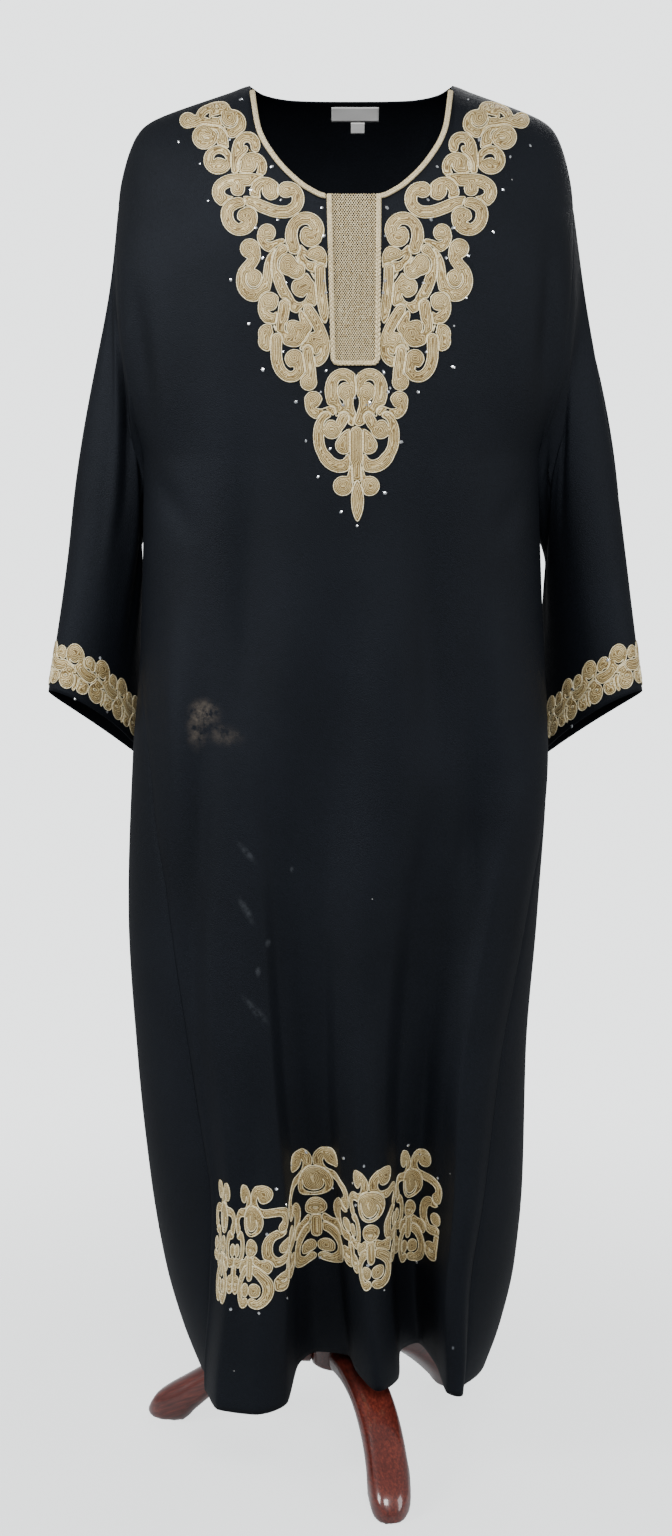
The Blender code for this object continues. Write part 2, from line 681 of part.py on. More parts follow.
def joined_outline(polygons):
    """Edges round the joined shape of overlapping outlines, from a flat triangulation."""
    verts, edges = [], []
    for polygon in polygons:
        start, size = len(verts), len(polygon)
        verts += [Vector(p) for p in polygon]
        edges += [(start + k, start + (k + 1) % size) for k in range(size)]
    points, _, triangles, _, _, _ = delaunay_2d_cdt(verts, edges, [], 0, 1e-4)
    count = {}
    for triangle in triangles:
        if covered(polygons, triangle, points):
            for a, b in zip(triangle, triangle[1:] + triangle[:1]):
                key = (min(a, b), max(a, b))
                count[key] = count.get(key, 0) + 1
    return points, [edge for edge, uses in count.items() if uses == 1]


def applique(name, polygons, points, normals, finish_name, lift, wrap=False):
    """Lay joined flat outlines on the cloth's cells, one node for each island."""
    outline_points, outline_edges = joined_outline(polygons)
    used = sorted({index for edge in outline_edges for index in edge})
    verts = [Vector(outline_points[index]) for index in used]
    number = {index: k for k, index in enumerate(used)}
    edges = [(number[a], number[b]) for a, b in outline_edges]
    low = np.floor(np.min([tuple(v) for v in verts], axis=0)).astype(int)
    high = np.ceil(np.max([tuple(v) for v in verts], axis=0)).astype(int)
    cells = {}
    for i in range(low[0], high[0] + 1):
        for j in range(low[1], high[1] + 1):
            cells[i, j] = len(verts)
            verts.append(Vector((i, j)))
    for (i, j), start in cells.items():
        turned = not wrap and i < (points.shape[0] - 1) / 2
        ends = [(start, (i + 1, j)), (start, (i, j + 1))]
        if turned:
            ends.append((cells.get((i + 1, j)), (i, j + 1)))
        else:
            ends.append((start, (i + 1, j + 1)))
        edges += [(first, cells[last]) for first, last in ends if first is not None and last in cells]
    flat, _, triangles, _, _, _ = delaunay_2d_cdt(verts, edges, [], 0, 1e-4)
    bm = bmesh.new()
    made = {}
    kept = [tuple(triangle) for triangle in triangles if covered(polygons, triangle, flat)]
    for triangle in opened_pinches(kept):
        for k in triangle:
            if k not in made:
                made[k] = bm.verts.new((flat[k].x, flat[k].y, 0.0))
        bm.faces.new([made[k] for k in triangle])
    moved = bmesh.ops.extrude_face_region(bm, geom=bm.faces[:], use_keep_orig=True)["geom"]
    for item in moved:
        if isinstance(item, bmesh.types.BMVert):
            item.co.z = 1.0
    islands = separate(bm)
    for count, island in enumerate(islands, start=1):
        for vert in island.verts:
            point, normal = facet(points, normals, vert.co.x, vert.co.y, wrap)
            vert.co = Vector(point + normal * (lift + APPLIQUE * vert.co.z))
        label = name if len(islands) == 1 else f"{name}_{count}"
        add_object(label, island, finish_name)
    bm.free()


def opened_pinches(triangles):
    """Leave out the smaller fan of triangles where two fans meet in one corner only."""
    while True:
        fans = pinched_fans(triangles)
        if not fans:
            return triangles
        dropped = {triangle for fan in fans for triangle in fan}
        triangles = [triangle for triangle in triangles if triangle not in dropped]


def pinched_fans(triangles):
    around = {}
    for triangle in triangles:
        for corner in triangle:
            around.setdefault(corner, []).append(triangle)
    small = []
    for corner, group in around.items():
        fans = []
        for triangle in group:
            others = set(triangle) - {corner}
            touching = [fan for fan in fans if others & fan[0]]
            merged = (others, [triangle])
            for fan in touching:
                merged = (merged[0] | fan[0], merged[1] + fan[1])
                fans.remove(fan)
            fans.append(merged)
        if len(fans) > 1:
            fans.sort(key=lambda fan: len(fan[1]))
            small += [fan[1] for fan in fans[:-1]]
    return small


def separate(bm):
    """The loose islands of a mesh, as meshes of their own, from left to right."""
    bm.faces.ensure_lookup_table()
    bm.faces.index_update()
    seen, islands = set(), []
    for face in bm.faces:
        if face.index in seen:
            continue
        group, waiting = [], [face]
        seen.add(face.index)
        while waiting:
            current = waiting.pop()
            group.append(current)
            for edge in current.edges:
                for other in edge.link_faces:
                    if other.index not in seen:
                        seen.add(other.index)
                        waiting.append(other)
        islands.append(group)
    result = []
    for group in sorted(islands, key=lambda group: min(vert.co.x for face in group for vert in face.verts)):
        island, made = bmesh.new(), {}
        for face in group:
            for vert in face.verts:
                if vert not in made:
                    made[vert] = island.verts.new(vert.co)
            island.faces.new([made[vert] for vert in face.verts])
        result.append(island)
    return result


def front_cell(x, height):
    """Cell numbers of the front's upper part for a place seen from the front."""
    share = 0.0
    for _ in range(12):
        left, right = read(BODY, height, 1), read(BODY, height, 2)
        across = math.sin(share * math.pi / 2)
        shift = FRONT_SHIFT * min(max((height - 0.9) / 0.4, 0), 1) * (1 - across**2)
        across = (x - (left + right) / 2 - shift) / ((right - left) / 2)
        share = math.asin(min(max(across, -1), 1)) / (math.pi / 2)
    place = abs(across) * TIP_HALF
    ridge = float(read(RIDGE, place, 1))
    neck = float(read(NECK, place, 1)) if place < NECK_HALF else ridge
    first = math.acos(1 - max(ridge - neck, 0) / ROUNDING)
    drop = ridge - height
    if drop < ROUNDING:
        turn = math.acos(1 - drop / ROUNDING)
        down = (turn - first) / (math.pi / 2 - first) * SHOULDER_ROWS
    else:
        hem = float(hem_height(FRONT_FOLDS, share))
        part = (drop - ROUNDING) / (ridge - ROUNDING - hem)
        down = SHOULDER_ROWS + SKIRT_ROWS * part ** (1 / ROW_GROWTH)
    return float(np.interp(share, SHARES, np.arange(len(SHARES)))), down


CENTRE_FRONT = (BODY[-1][1] + BODY[-1][2]) / 2 + FRONT_SHIFT
NECK_POINT = 1.520


def on_yoke(outline_mm, hand):
    return [front_cell(CENTRE_FRONT + hand * x / 1000, NECK_POINT - z / 1000) for x, z in outline_mm]


def mm_outlines(curls, strands):
    return [curl(*row) for row in curls] + [strand(*row) for row in strands]


def yoke_embroidery(points, normals):
    for name, hand in (("yoke_scrolls_left", -1), ("yoke_scrolls_right", 1)):
        polygons = [on_yoke(p, hand) for p in mm_outlines(YOKE_CURLS, YOKE_STRANDS)]
        applique(name, polygons, points, normals, "gold_embroidery", LIFT)
    polygons = [on_yoke(p, hand) for hand in (-1, 1)
                for p in mm_outlines(MEDALLION_CURLS, MEDALLION_STRANDS)]
    polygons.append(on_yoke(strand(*LEAF), 1))
    applique("yoke_medallion", polygons, points, normals, "gold_embroidery", LIFT)


BAND_MIDDLE = 0.175       # height of the hem embroidery's middle above the hem


def hem_embroidery(points, normals):
    """Repeats along the front, measured along the folded cloth."""
    shares = np.linspace(-1, 1, 401)
    hem = hem_height(FRONT_FOLDS, shares)
    rows = skirt_row(shares, hem + BAND_MIDDLE)
    line = panel(1, shares, rows)
    along = np.concatenate(([0.0], np.cumsum(np.linalg.norm(np.diff(line, axis=0), axis=1))))
    along -= np.interp(0.0, shares, along)
    polygons = []
    for centre in HEM_CENTRES:
        for polygon in mm_outlines(HEM_CURLS, HEM_STRANDS):
            cells = []
            for x, up in polygon:
                share = float(np.interp((centre + x) / 1000, along, shares))
                height = float(hem_height(FRONT_FOLDS, share)) + up / 1000
                row = float(skirt_row(share, height)) * ROWS
                cells.append((float(np.interp(share, SHARES, np.arange(len(SHARES)))), row))
            polygons.append(cells)
    applique("hem_scrolls", polygons, points, normals, "gold_embroidery", LIFT)


def skirt_row(share, height):
    across = np.abs(np.sin(np.asarray(share) * math.pi / 2)) * TIP_HALF
    start = read(RIDGE, across, 1) - ROUNDING
    hem = hem_height(FRONT_FOLDS, share)
    part = np.clip((start - height) / (start - hem), 0.0, 1.0) ** (1 / ROW_GROWTH)
    return (SHOULDER_ROWS + SKIRT_ROWS * part) / ROWS


def cuff_embroidery(name, hand, points, normals):
    """Repeats round the cuff, left open at the inner fold."""
    turns = np.linspace(0, 1, 401)
    edge = sleeve(hand, turns, np.full_like(turns, 0.93))
    along = np.concatenate(([0.0], np.cumsum(np.linalg.norm(np.diff(edge, axis=0), axis=1))))
    length = along[-1]
    repeats = int(length / (CUFF_REPEAT / 1000))
    count = points.shape[0]
    down = float(np.mean(np.linalg.norm(points[:, -1] - points[:, -2], axis=-1)))
    polygons = []
    for k in range(repeats):
        centre = -length / 2 + (k + 0.5) * length / repeats
        for polygon in mm_outlines(CUFF_CURLS, CUFF_STRANDS):
            cells = []
            for x, up in polygon:
                place = min(max(centre + x / 1000 + length / 2, 0.003), length - 0.003)
                turn = float(np.interp(place, along, turns)) - 0.5
                cells.append((turn * count + count, SLEEVE_ROWS - up / 1000 / down))
            polygons.append(cells)
    applique(name, polygons, points, normals, "gold_embroidery", LIFT, wrap=True)


# Flat trims laid on the cloth
NET_HALF = 22.2           # bib, in millimetres from the centre front
BORDER = 6.0
BIB_TOP = 125.0           # millimetres below the neck point
BIB_BOTTOM = 294.0
NET_GAP = 0.5             # between the net and its border
BRAID_WIDTH = 0.0062
BRAID_STEPS = 9
BRAID_STOP = 1.45         # columns from the middle where the braid meets the bib
BRAID_EDGE = 0.02         # rows of cells left bare at the neck edge
BRAID_LEAN = 0.06         # columns that the braid's lower edge reaches further out
LABEL_THICK = 0.0005
LABEL_CELLS = (3, 2)
LABELS = {
    # left, right, top, bottom
    "neck_label": (-0.0090, 0.0430, 1.5070, 1.4930),
    "size_tab": (0.0125, 0.0275, 1.4924, 1.4815),
}


def box_outline(x0, z0, x1, z1):
    return [(x0, z0), (x1, z0), (x1, z1), (x0, z1)]


def bib(points, normals):
    net = box_outline(-NET_HALF + NET_GAP, BIB_TOP, NET_HALF - NET_GAP, BIB_BOTTOM - NET_GAP)
    applique("bib_net", [on_yoke(net, 1)], points, normals, "gold_net", LIFT)
    wide = NET_HALF + BORDER
    sides = [box_outline(-wide, BIB_TOP, -NET_HALF, BIB_BOTTOM + BORDER),
             box_outline(NET_HALF, BIB_TOP, wide, BIB_BOTTOM + BORDER),
             box_outline(-wide, BIB_BOTTOM, wide, BIB_BOTTOM + BORDER)]
    applique("bib_border", [on_yoke(p, 1) for p in sides], points, normals, "gold_braid", LIFT)


def neck_braid(points, normals):
    """A band along the front neck edge, from each shoulder seam to the bib."""
    middle = len(SHARES) // 2
    neck_column = middle + FRONT_COLUMNS.index(NECK_HALF) + 1
    for name, hand in (("neck_braid_left", -1), ("neck_braid_right", 1)):
        stop = middle + hand * BRAID_STOP
        start = middle + hand * (neck_column - middle)
        steps = np.linspace(stop, start, BRAID_STEPS)
        inner = [(c, BRAID_EDGE) for c in steps]
        outer = [(c + hand * BRAID_LEAN, BRAID_EDGE + braid_cells(points, c)) for c in steps[::-1]]
        applique(name, [inner + outer], points, normals, "gold_braid", LIFT)


def braid_cells(points, column):
    i = int(min(max(round(column), 0), len(SHARES) - 1))
    return BRAID_WIDTH / float(np.linalg.norm(points[i, 1] - points[i, 0]))


def label(name, tree):
    """A small flat label inside the back of the neck."""
    x0, x1, top, bottom = LABELS[name]
    cells_across, cells_down = LABEL_CELLS
    bm = slab(cells_across, cells_down)
    for vert in bm.verts:
        x = x0 + (x1 - x0) * vert.co.x / cells_across
        z = top + (bottom - top) * vert.co.y / cells_down
        hit, normal, _, _ = tree.ray_cast(Vector((x, 0.0, z)), Vector((0, 1, 0)))
        vert.co = hit + normal * (SEAM + LABEL_THICK * (1 - vert.co.z))
    add_object(name, bm, "white_satin")


# The stand and the form
def mapped_ball(name, around, rings, place, finish_name):
    """A closed shape: a ball whose points are placed by angle and by share from top to bottom."""
    bm = bmesh.new()
    bmesh.ops.create_uvsphere(bm, u_segments=around, v_segments=rings, radius=1.0)
    for vert in bm.verts:
        angle = math.atan2(vert.co.x, -vert.co.y)
        share = math.acos(max(-1.0, min(1.0, vert.co.z))) / math.pi
        vert.co = Vector(place(angle, share))
    add_object(name, bm, finish_name)


def cloth_depth(x, side):
    """How far the cloth reaches forward or back at the shoulders, at a distance from the middle."""
    share = math.asin(min(abs(x) / FORM_REACH, 1.0)) / (math.pi / 2)
    angle = share * math.pi / 2 if side > 0 else math.pi - share * math.pi / 2
    return abs(float(outline(TIP_HEIGHT, angle, 1 if side > 0 else -1)[1]))


def form_point(angle, share):
    """Scooped top and shoulders for the first part, then the sides, then the flat base."""
    side = math.copysign(abs(math.sin(angle)) ** FORM_SQUARE, math.sin(angle))
    front = math.copysign(abs(math.cos(angle)) ** FORM_SQUARE, math.cos(angle))
    rim_x = FORM_SHOULDER_HALF * side
    rim_y = -FORM_DEPTH_SHARE * cloth_depth(rim_x, front) * front
    if share <= FORM_TOP_PART:
        reach = math.sin(share / FORM_TOP_PART * math.pi / 2)
        x, y = rim_x * reach, rim_y * reach
        return x + form_middle(x), y, form_top(x, y)
    if share <= FORM_BASE_PART:
        part = (share - FORM_TOP_PART) / (FORM_BASE_PART - FORM_TOP_PART)
        rim = form_top(rim_x, rim_y)
        height = rim + (FORM_BOTTOM - rim) * part
        blend = min(1.0, part * FORM_BLEND)
        blend = blend * blend * (3 - 2 * blend)
        x = rim_x + (float(read(FORM, height, 1)) * side - rim_x) * blend
        y = rim_y + (-float(read(FORM, height, 2)) * front - rim_y) * blend
        return x + form_middle(x) * (1 - part), y, height
    part = (1 - share) / (1 - FORM_BASE_PART)
    return FORM[0][1] * side * part, -FORM[0][2] * front * part, FORM_BOTTOM


def form_middle(x):
    """The cloth's own shift to the side at the shoulders."""
    return (BODY[-1][1] + BODY[-1][2]) / 2 + FRONT_SHIFT * (1 - (x / FORM_REACH) ** 2)


def form_top(x, y):
    """Height of the form's top: the shoulders under the cloth, the neck cut away."""
    place = min(abs(x), TIP_HALF)
    offset = (WALL + FORM_GAP) / math.cos(SHOULDER_SLOPE)
    lean = min(abs(y) / cloth_depth(x, -y), 1.0)
    shoulder = float(read(RIDGE, place, 1)) - offset - SHOULDER_DROP * (1 - math.sqrt(1 - lean**2))
    shoulder -= TIP_FALL * max(place - TIP_START, 0.0)
    scoop = float(read(FORM_SCOOP, place, 1))
    return (shoulder + scoop - math.hypot(shoulder - scoop, FORM_ROUND)) / 2


def dress_form():
    mapped_ball("form_torso", 26, 18, form_point, "form_cover")


def pole():
    bm = bmesh.new()
    bottom, top = 0.165, FORM_BOTTOM - SEAM
    bmesh.ops.create_cone(bm, cap_ends=True, segments=24, radius1=POLE_RADIUS, radius2=POLE_RADIUS,
                          depth=top - bottom)
    bmesh.ops.translate(bm, verts=bm.verts[:], vec=(0, 0, (top + bottom) / 2))
    add_object("form_pole", bm, "steel_pole")


HUB_PROFILE = ((0.0, 0.1647), (0.017, 0.1647), (0.020, 0.160), (0.0175, 0.152), (0.020, 0.146),
               (0.028, 0.139), (HUB_RADIUS, 0.130), (HUB_RADIUS, 0.093), (0.029, 0.089), (0.0, 0.088))


def hub():
    """The turned block that the legs are fixed to."""
    mesh = bpy.data.meshes.new("stand_hub")
    bm = bmesh.new()
    verts = [bm.verts.new((radius, 0, height)) for radius, height in HUB_PROFILE]
    for first, second in zip(verts, verts[1:]):
        bm.edges.new((first, second))
    bm.to_mesh(mesh)
    bm.free()
    mesh.materials.append(finish("stained_wood"))
    piece = bpy.data.objects.new("stand_hub", mesh)
    parts.objects.link(piece)
    piece.parent = stand_axis
    turn = piece.modifiers.new("Turned", "SCREW")
    turn.steps = turn.render_steps = 24
    turn.use_merge_vertices = True
    turn.merge_threshold = 1e-5
    turn.use_smooth_shade = True


def leg(name, degrees):
    azimuth = math.radians(degrees)
    away = Vector((math.sin(azimuth), -math.cos(azimuth), 0))
    side = Vector((away.y, -away.x, 0)) * -1

    def place(angle, share):
        part = min(max((share - LEG_CAP) / (LEG_TIP - LEG_CAP), 0.0), 1.0)
        reach = LEG[0][0] + (LEG[-1][0] - LEG[0][0]) * part
        top, under = float(read(LEG, reach, 1)), float(read(LEG, reach, 2))
        half = float(read(LEG, reach, 3))
        size = min(1.0, share / LEG_CAP, (1 - share) / (1 - LEG_TIP))
        across = half * math.copysign(abs(math.sin(angle)) ** LEG_SQUARE, math.sin(angle)) * size
        up = math.copysign(abs(math.cos(angle)) ** LEG_SQUARE, math.cos(angle)) * size
        height = max(0.0, (top + under) / 2 + (top - under) / 2 * up)
        if part < LEG_ROOT:
            face = math.sqrt(max(0.0, (HUB_RADIUS + SEAM) ** 2 - across**2))
            reach = max(reach - LEG[0][0], 0.0) + face
        return away * reach + side * across + Vector((0, 0, height))

    mapped_ball(name, 12, 14, place, "stained_wood")


# Build everything
parts =bpy.data.collections.new("Kaftan")
bpy.context.scene.collection.children.link(parts)
stand_axis = bpy.data.objects.new("stand_axis", None)
parts.objects.link(stand_axis)

front_points, front_normals = panel_piece("front", 1)
back_points, back_normals = panel_piece("back", -1)
left_points, left_normals = sleeve_piece("sleeve_left", -1)
right_points, right_normals = sleeve_piece("sleeve_right", 1)
yoke_embroidery(front_points, front_normals)
bib(front_points, front_normals)
neck_braid(front_points, front_normals)
hem_embroidery(front_points, front_normals)
cuff_embroidery("cuff_scrolls_left", -1, left_points, left_normals)
cuff_embroidery("cuff_scrolls_right", 1, right_points, right_normals)

back_mesh = bmesh.new()
back_mesh.from_mesh(bpy.data.meshes["back"])
back_tree = BVHTree.FromBMesh(back_mesh)
back_mesh.free()
for label_name in LABELS:
    label(label_name, back_tree)

dress_form()
pole()
hub()
for leg_name, leg_angle in LEG_ANGLES.items():
    leg(leg_name, leg_angle)

# The frame's origin is the middle of the footprint's box, on the floor
bpy.context.view_layer.update()
corners = [np.array(piece.bound_box) for piece in parts.objects if piece.type == "MESH"]
low = np.min([c.min(axis=0) for c in corners], axis=0)
high = np.max([c.max(axis=0) for c in corners], axis=0)
stand_axis.location = (-(low[0] + high[0]) / 2, -(low[1] + high[1]) / 2, 0.0)
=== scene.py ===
# %% [markdown]
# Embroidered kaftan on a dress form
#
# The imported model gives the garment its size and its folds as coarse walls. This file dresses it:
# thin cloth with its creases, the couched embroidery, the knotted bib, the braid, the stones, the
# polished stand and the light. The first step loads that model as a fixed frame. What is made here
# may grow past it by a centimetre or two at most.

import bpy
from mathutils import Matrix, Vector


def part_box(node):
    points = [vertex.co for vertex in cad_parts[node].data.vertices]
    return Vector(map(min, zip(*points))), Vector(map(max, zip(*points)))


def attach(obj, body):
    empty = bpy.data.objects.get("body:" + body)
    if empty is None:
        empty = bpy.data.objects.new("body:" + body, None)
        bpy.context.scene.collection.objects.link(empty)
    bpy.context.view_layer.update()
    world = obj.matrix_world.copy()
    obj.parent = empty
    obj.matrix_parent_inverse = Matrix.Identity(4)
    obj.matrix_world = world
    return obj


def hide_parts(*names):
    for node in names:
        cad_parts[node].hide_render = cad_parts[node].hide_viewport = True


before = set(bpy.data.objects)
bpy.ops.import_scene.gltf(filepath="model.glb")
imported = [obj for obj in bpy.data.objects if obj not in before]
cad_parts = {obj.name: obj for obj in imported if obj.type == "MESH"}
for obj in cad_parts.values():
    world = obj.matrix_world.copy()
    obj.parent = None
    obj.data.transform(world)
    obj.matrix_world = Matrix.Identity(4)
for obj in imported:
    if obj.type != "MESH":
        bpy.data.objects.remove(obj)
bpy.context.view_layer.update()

# %% [markdown]
# Lengths are metres, +X is the viewer's right and -Y is the front of the garment. The garment's
# own shapes are worked out around the stand's pole, so the pole's place in the frame is the shift
# that every new piece gets at the end.

# %% Modules and the pole's place
import math

import bmesh
import bpy
import numpy as np
from mathutils import Matrix, Vector
from mathutils.bvhtree import BVHTree
from mathutils.geometry import delaunay_2d_cdt

pole_low, pole_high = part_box("form_pole")
AXIS = np.array([(pole_low.x + pole_high.x) / 2, (pole_low.y + pole_high.y) / 2, 0.0])
print("pole axis at", AXIS.round(4))

# %% [markdown]
# Each piece starts as a bmesh that an operator fills. Two short functions turn it into a mesh and
# put an object in the scene, always at the origin, unturned and unscaled.

# %% Making pieces
def mesh_from(bm, name):
    mesh = bpy.data.meshes.new(name)
    bm.to_mesh(mesh)
    bm.free()
    return mesh


def in_scene(name, data):
    item = bpy.data.objects.new(name, data)
    bpy.context.scene.collection.objects.link(item)
    return item


# %% [markdown]
# The camera comes first, because the embroidery is placed by where it shows in the picture. The
# picture was taken from chest height with a long lens, tilted a little down. A ray through a
# picture point then finds the cloth behind it.

# %% Camera
PICTURE_MIDDLE = (336.0, 768.0)      # middle of the picture, in its pixels
FOCAL_PIXELS = 2304.0                # focal length, in the picture's pixels
CAMERA_DISTANCE = 2.547              # in front of the pole
CAMERA_HEIGHT = 1.141
CAMERA_SIDE = -0.004                 # left of the pole
TILT = math.radians(8.0)             # downwards
SENSOR = 36.0
PICTURE_HEIGHT = 1536.0

camera_data = bpy.data.cameras.new("camera")
camera_data.sensor_width = SENSOR
camera_data.lens = FOCAL_PIXELS / PICTURE_HEIGHT * SENSOR
camera = in_scene("camera", camera_data)
camera.location = (AXIS[0] + CAMERA_SIDE, AXIS[1] - CAMERA_DISTANCE, CAMERA_HEIGHT)
camera.rotation_euler = (math.pi / 2 - TILT, 0.0, 0.0)
bpy.context.scene.camera = camera
bpy.context.view_layer.update()
print("lens:", round(camera_data.lens, 1), "mm")


def picture_ray(x, y):
    """Direction from the camera through a picture point."""
    flat = Vector(((x - PICTURE_MIDDLE[0]) / FOCAL_PIXELS, (PICTURE_MIDDLE[1] - y) / FOCAL_PIXELS, -1.0))
    return (camera.matrix_world.to_3x3() @ flat).normalized()


# %% [markdown]
# A finish is built from shader nodes. One small function adds a node with its settings and links,
# and one turns a hex colour, as a paint chart gives it, into the linear numbers the shader wants.
# The others name the few steps that most of the finishes share, with every grain in millimetres.

# %% Node helpers
MM = 1000.0                          # millimetres in a metre: shader scales count per metre


def linear(hex_colour):
    values = [int(hex_colour[k:k + 2], 16) / 255 for k in (1, 3, 5)]
    return [v / 12.92 if v <= 0.04045 else ((v + 0.055) / 1.055) ** 2.4 for v in values] + [1.0]


def add(tree, kind, inputs=None, **settings):
    """Add a node, set its properties, then fill its inputs with values or links."""
    node = tree.nodes.new(kind)
    for key, value in settings.items():
        setattr(node, key, value)
    for key, value in (inputs or {}).items():
        if isinstance(value, bpy.types.NodeSocket):
            tree.links.new(value, node.inputs[key])
        else:
            node.inputs[key].default_value = value
    return node


def new_finish(name):
    """A material, its tree, its shader and the object's own coordinates."""
    material = bpy.data.materials.new(name)
    material.use_nodes = True
    tree = material.node_tree
    place = add(tree, "ShaderNodeTexCoord").outputs["Object"]
    return material, tree, tree.nodes["Principled BSDF"], place


def set_values(shader, **values):
    for key, value in values.items():
        shader.inputs[key.replace("_", " ")].default_value = value


def ramp(tree, factor, stops):
    """A colour ramp from pairs of position and hex colour."""
    node = add(tree, "ShaderNodeValToRGB", {"Fac": factor})
    elements = node.color_ramp.elements
    for element, (position, colour) in zip(elements, (stops[0], stops[-1])):
        element.position, element.color = position, linear(colour)
    for position, colour in stops[1:-1]:
        elements.new(position).color = linear(colour)
    return node.outputs["Color"]


def noise(tree, place, grain_mm, detail=2.0, rough=0.5):
    return add(tree, "ShaderNodeTexNoise", {"Vector": place, "Scale": MM / grain_mm, "Detail": detail,
                                            "Roughness": rough}).outputs["Fac"]


def maths(tree, operation, *values):
    return add(tree, "ShaderNodeMath", dict(enumerate(values)), operation=operation).outputs[0]


def between(tree, share, first, second):
    """A number between two numbers."""
    return add(tree, "ShaderNodeMix", {"Factor": share, 2: first, 3: second}).outputs[0]


def laid_over(tree, share, colour, hex_colour):
    """A colour with a share of another one over it."""
    return add(tree, "ShaderNodeMix", {0: share, 6: colour, 7: linear(hex_colour)},
               data_type="RGBA").outputs[2]


def bumped(tree, shader, height, strength, depth_mm):
    bump = add(tree, "ShaderNodeBump", {"Height": height, "Strength": strength, "Distance": depth_mm / MM})
    tree.links.new(bump.outputs["Normal"], shader.inputs["Normal"])


def grained(name, grain_mm, stops, bump=None, detail=2.0, rough=0.5, **values):
    """A finish that takes its colour, and its bump if it has one, from a single grain."""
    material, tree, shader, place = new_finish(name)
    grain = noise(tree, place, grain_mm, detail, rough)
    tree.links.new(ramp(tree, grain, stops), shader.inputs["Base Color"])
    if bump:
        bumped(tree, shader, grain, *bump)
    set_values(shader, **values)
    return material


# %% [markdown]
# The garment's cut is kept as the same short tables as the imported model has: the outline at each
# height, the shoulder line, the neck edge, the folds at the hem and the hanging sleeves. A smooth
# curve that never swings past its rows reads them.

# %% The cut
WALL = 0.0007                        # thickness of the cloth
TIP_HALF = 0.2455                    # half the width across the dropped shoulders
TIP_HEIGHT = 1.395
NECK_HALF = 0.106
ROUNDING = 0.18                      # height over which the cloth rounds over the shoulders
ARMHOLE_DEPTH = 0.064
FRONT_SHIFT = 0.007
SQUARENESS = 2.3
SHOULDER_ROWS = 6
SKIRT_ROWS = 20
ROWS = SHOULDER_ROWS + SKIRT_ROWS
ROW_GROWTH = 1.1
UNDERARM_ROW = 8
SEAM_HEM = 0.101                     # hem height at the side seams
SHIFT_FROM, SHIFT_OVER = 0.9, 0.4    # the chest moves to the viewer's right over this height
BACK_ROUND = 0.8                     # the back leaves the shoulder line sooner than the front
SLEEVE_BLEND, SLEEVE_LEAN = 0.6, 0.4
SLOPE_STEP = 2e-3                    # step over which a surface's direction is measured

BODY = (
    # height, left, right, front, back
    (0.090, -0.158, 0.165, 0.146, 0.132),
    (0.150, -0.181, 0.186, 0.146, 0.140),
    (0.220, -0.200, 0.201, 0.146, 0.148),
    (0.320, -0.216, 0.209, 0.147, 0.150),
    (0.460, -0.229, 0.211, 0.146, 0.150),
    (0.620, -0.237, 0.222, 0.142, 0.146),
    (0.800, -0.230, 0.231, 0.138, 0.140),
    (0.900, -0.221, 0.2265, 0.136, 0.137),
    (1.000, -0.2165, 0.2215, 0.134, 0.134),
    (1.130, -0.2145, 0.217, 0.133, 0.130),
    (1.200, -0.224, 0.232, 0.132, 0.126),
    (1.300, -0.234, 0.246, 0.130, 0.122),
    (1.395, -0.239, 0.252, 0.125, 0.115),
)
RIDGE = (
    # distance from the middle, height of the shoulder line
    (0.000, 1.5240),
    (0.080, 1.5230),
    (0.106, 1.5210),
    (0.130, 1.5130),
    (0.160, 1.5030),
    (0.190, 1.4925),
    (0.2075, 1.4850),
    (0.2185, 1.4775),
    (0.2265, 1.4670),
    (0.2335, 1.4510),
    (0.2395, 1.4310),
    (0.2435, 1.4120),
    (0.2455, 1.3950),
)
NECK = (
    # distance from the middle, front height, back height
    (0.000, 1.3965, 1.5120),
    (0.027, 1.3965, 1.5120),
    (0.045, 1.4040, 1.5122),
    (0.064, 1.4190, 1.5127),
    (0.082, 1.4400, 1.5145),
    (0.096, 1.4660, 1.5172),
    (0.106, 1.5210, 1.5210),
)
SIDE_SEAMS = (
    # height, left and right side seam as degrees from the centre front
    (0.090, 58.0, 53.0),
    (0.220, 45.0, 46.0),
    (0.340, 40.0, 51.0),
    (0.400, 41.5, 54.0),
    (0.510, 45.0, 60.0),
    (0.665, 52.5, 72.0),
    (0.735, 59.0, 82.0),
    (0.800, 64.0, 90.0),
    (0.880, 76.0, 90.0),
    (0.950, 90.0, 90.0),
    (1.400, 90.0, 90.0),
)
FRONT_FOLDS = (
    # share of the half width, across, depth, hem height
    (-0.84, -0.150, -0.105, 0.098),
    (-0.68, -0.134, -0.149, 0.095),
    (-0.52, -0.096, -0.160, 0.094),
    (-0.38, -0.058, -0.140, 0.098),
    (-0.30, -0.045, -0.075, 0.119),
    (-0.20, -0.022, -0.053, 0.1265),
    (-0.09, 0.012, -0.061, 0.125),
    (0.00, 0.021, -0.098, 0.118),
    (0.10, 0.043, -0.129, 0.108),
    (0.21, 0.066, -0.098, 0.109),
    (0.32, 0.072, -0.020, 0.115),
    (0.44, 0.090, 0.000, 0.115),
    (0.55, 0.108, -0.050, 0.110),
    (0.68, 0.119, -0.118, 0.101),
    (0.84, 0.135, -0.124, 0.100),
)
BACK_FOLDS = (
    # share of the half width, push across, push outwards, hem height
    (-0.75, 0.000, 0.000, 0.101),
    (-0.50, 0.006, 0.004, 0.101),
    (-0.36, -0.002, 0.014, 0.100),
    (-0.19, 0.008, -0.040, 0.108),
    (-0.03, 0.002, 0.014, 0.100),
    (0.15, -0.008, -0.044, 0.108),
    (0.33, 0.002, 0.012, 0.100),
    (0.52, -0.004, -0.012, 0.102),
    (0.75, 0.000, 0.000, 0.101),
)
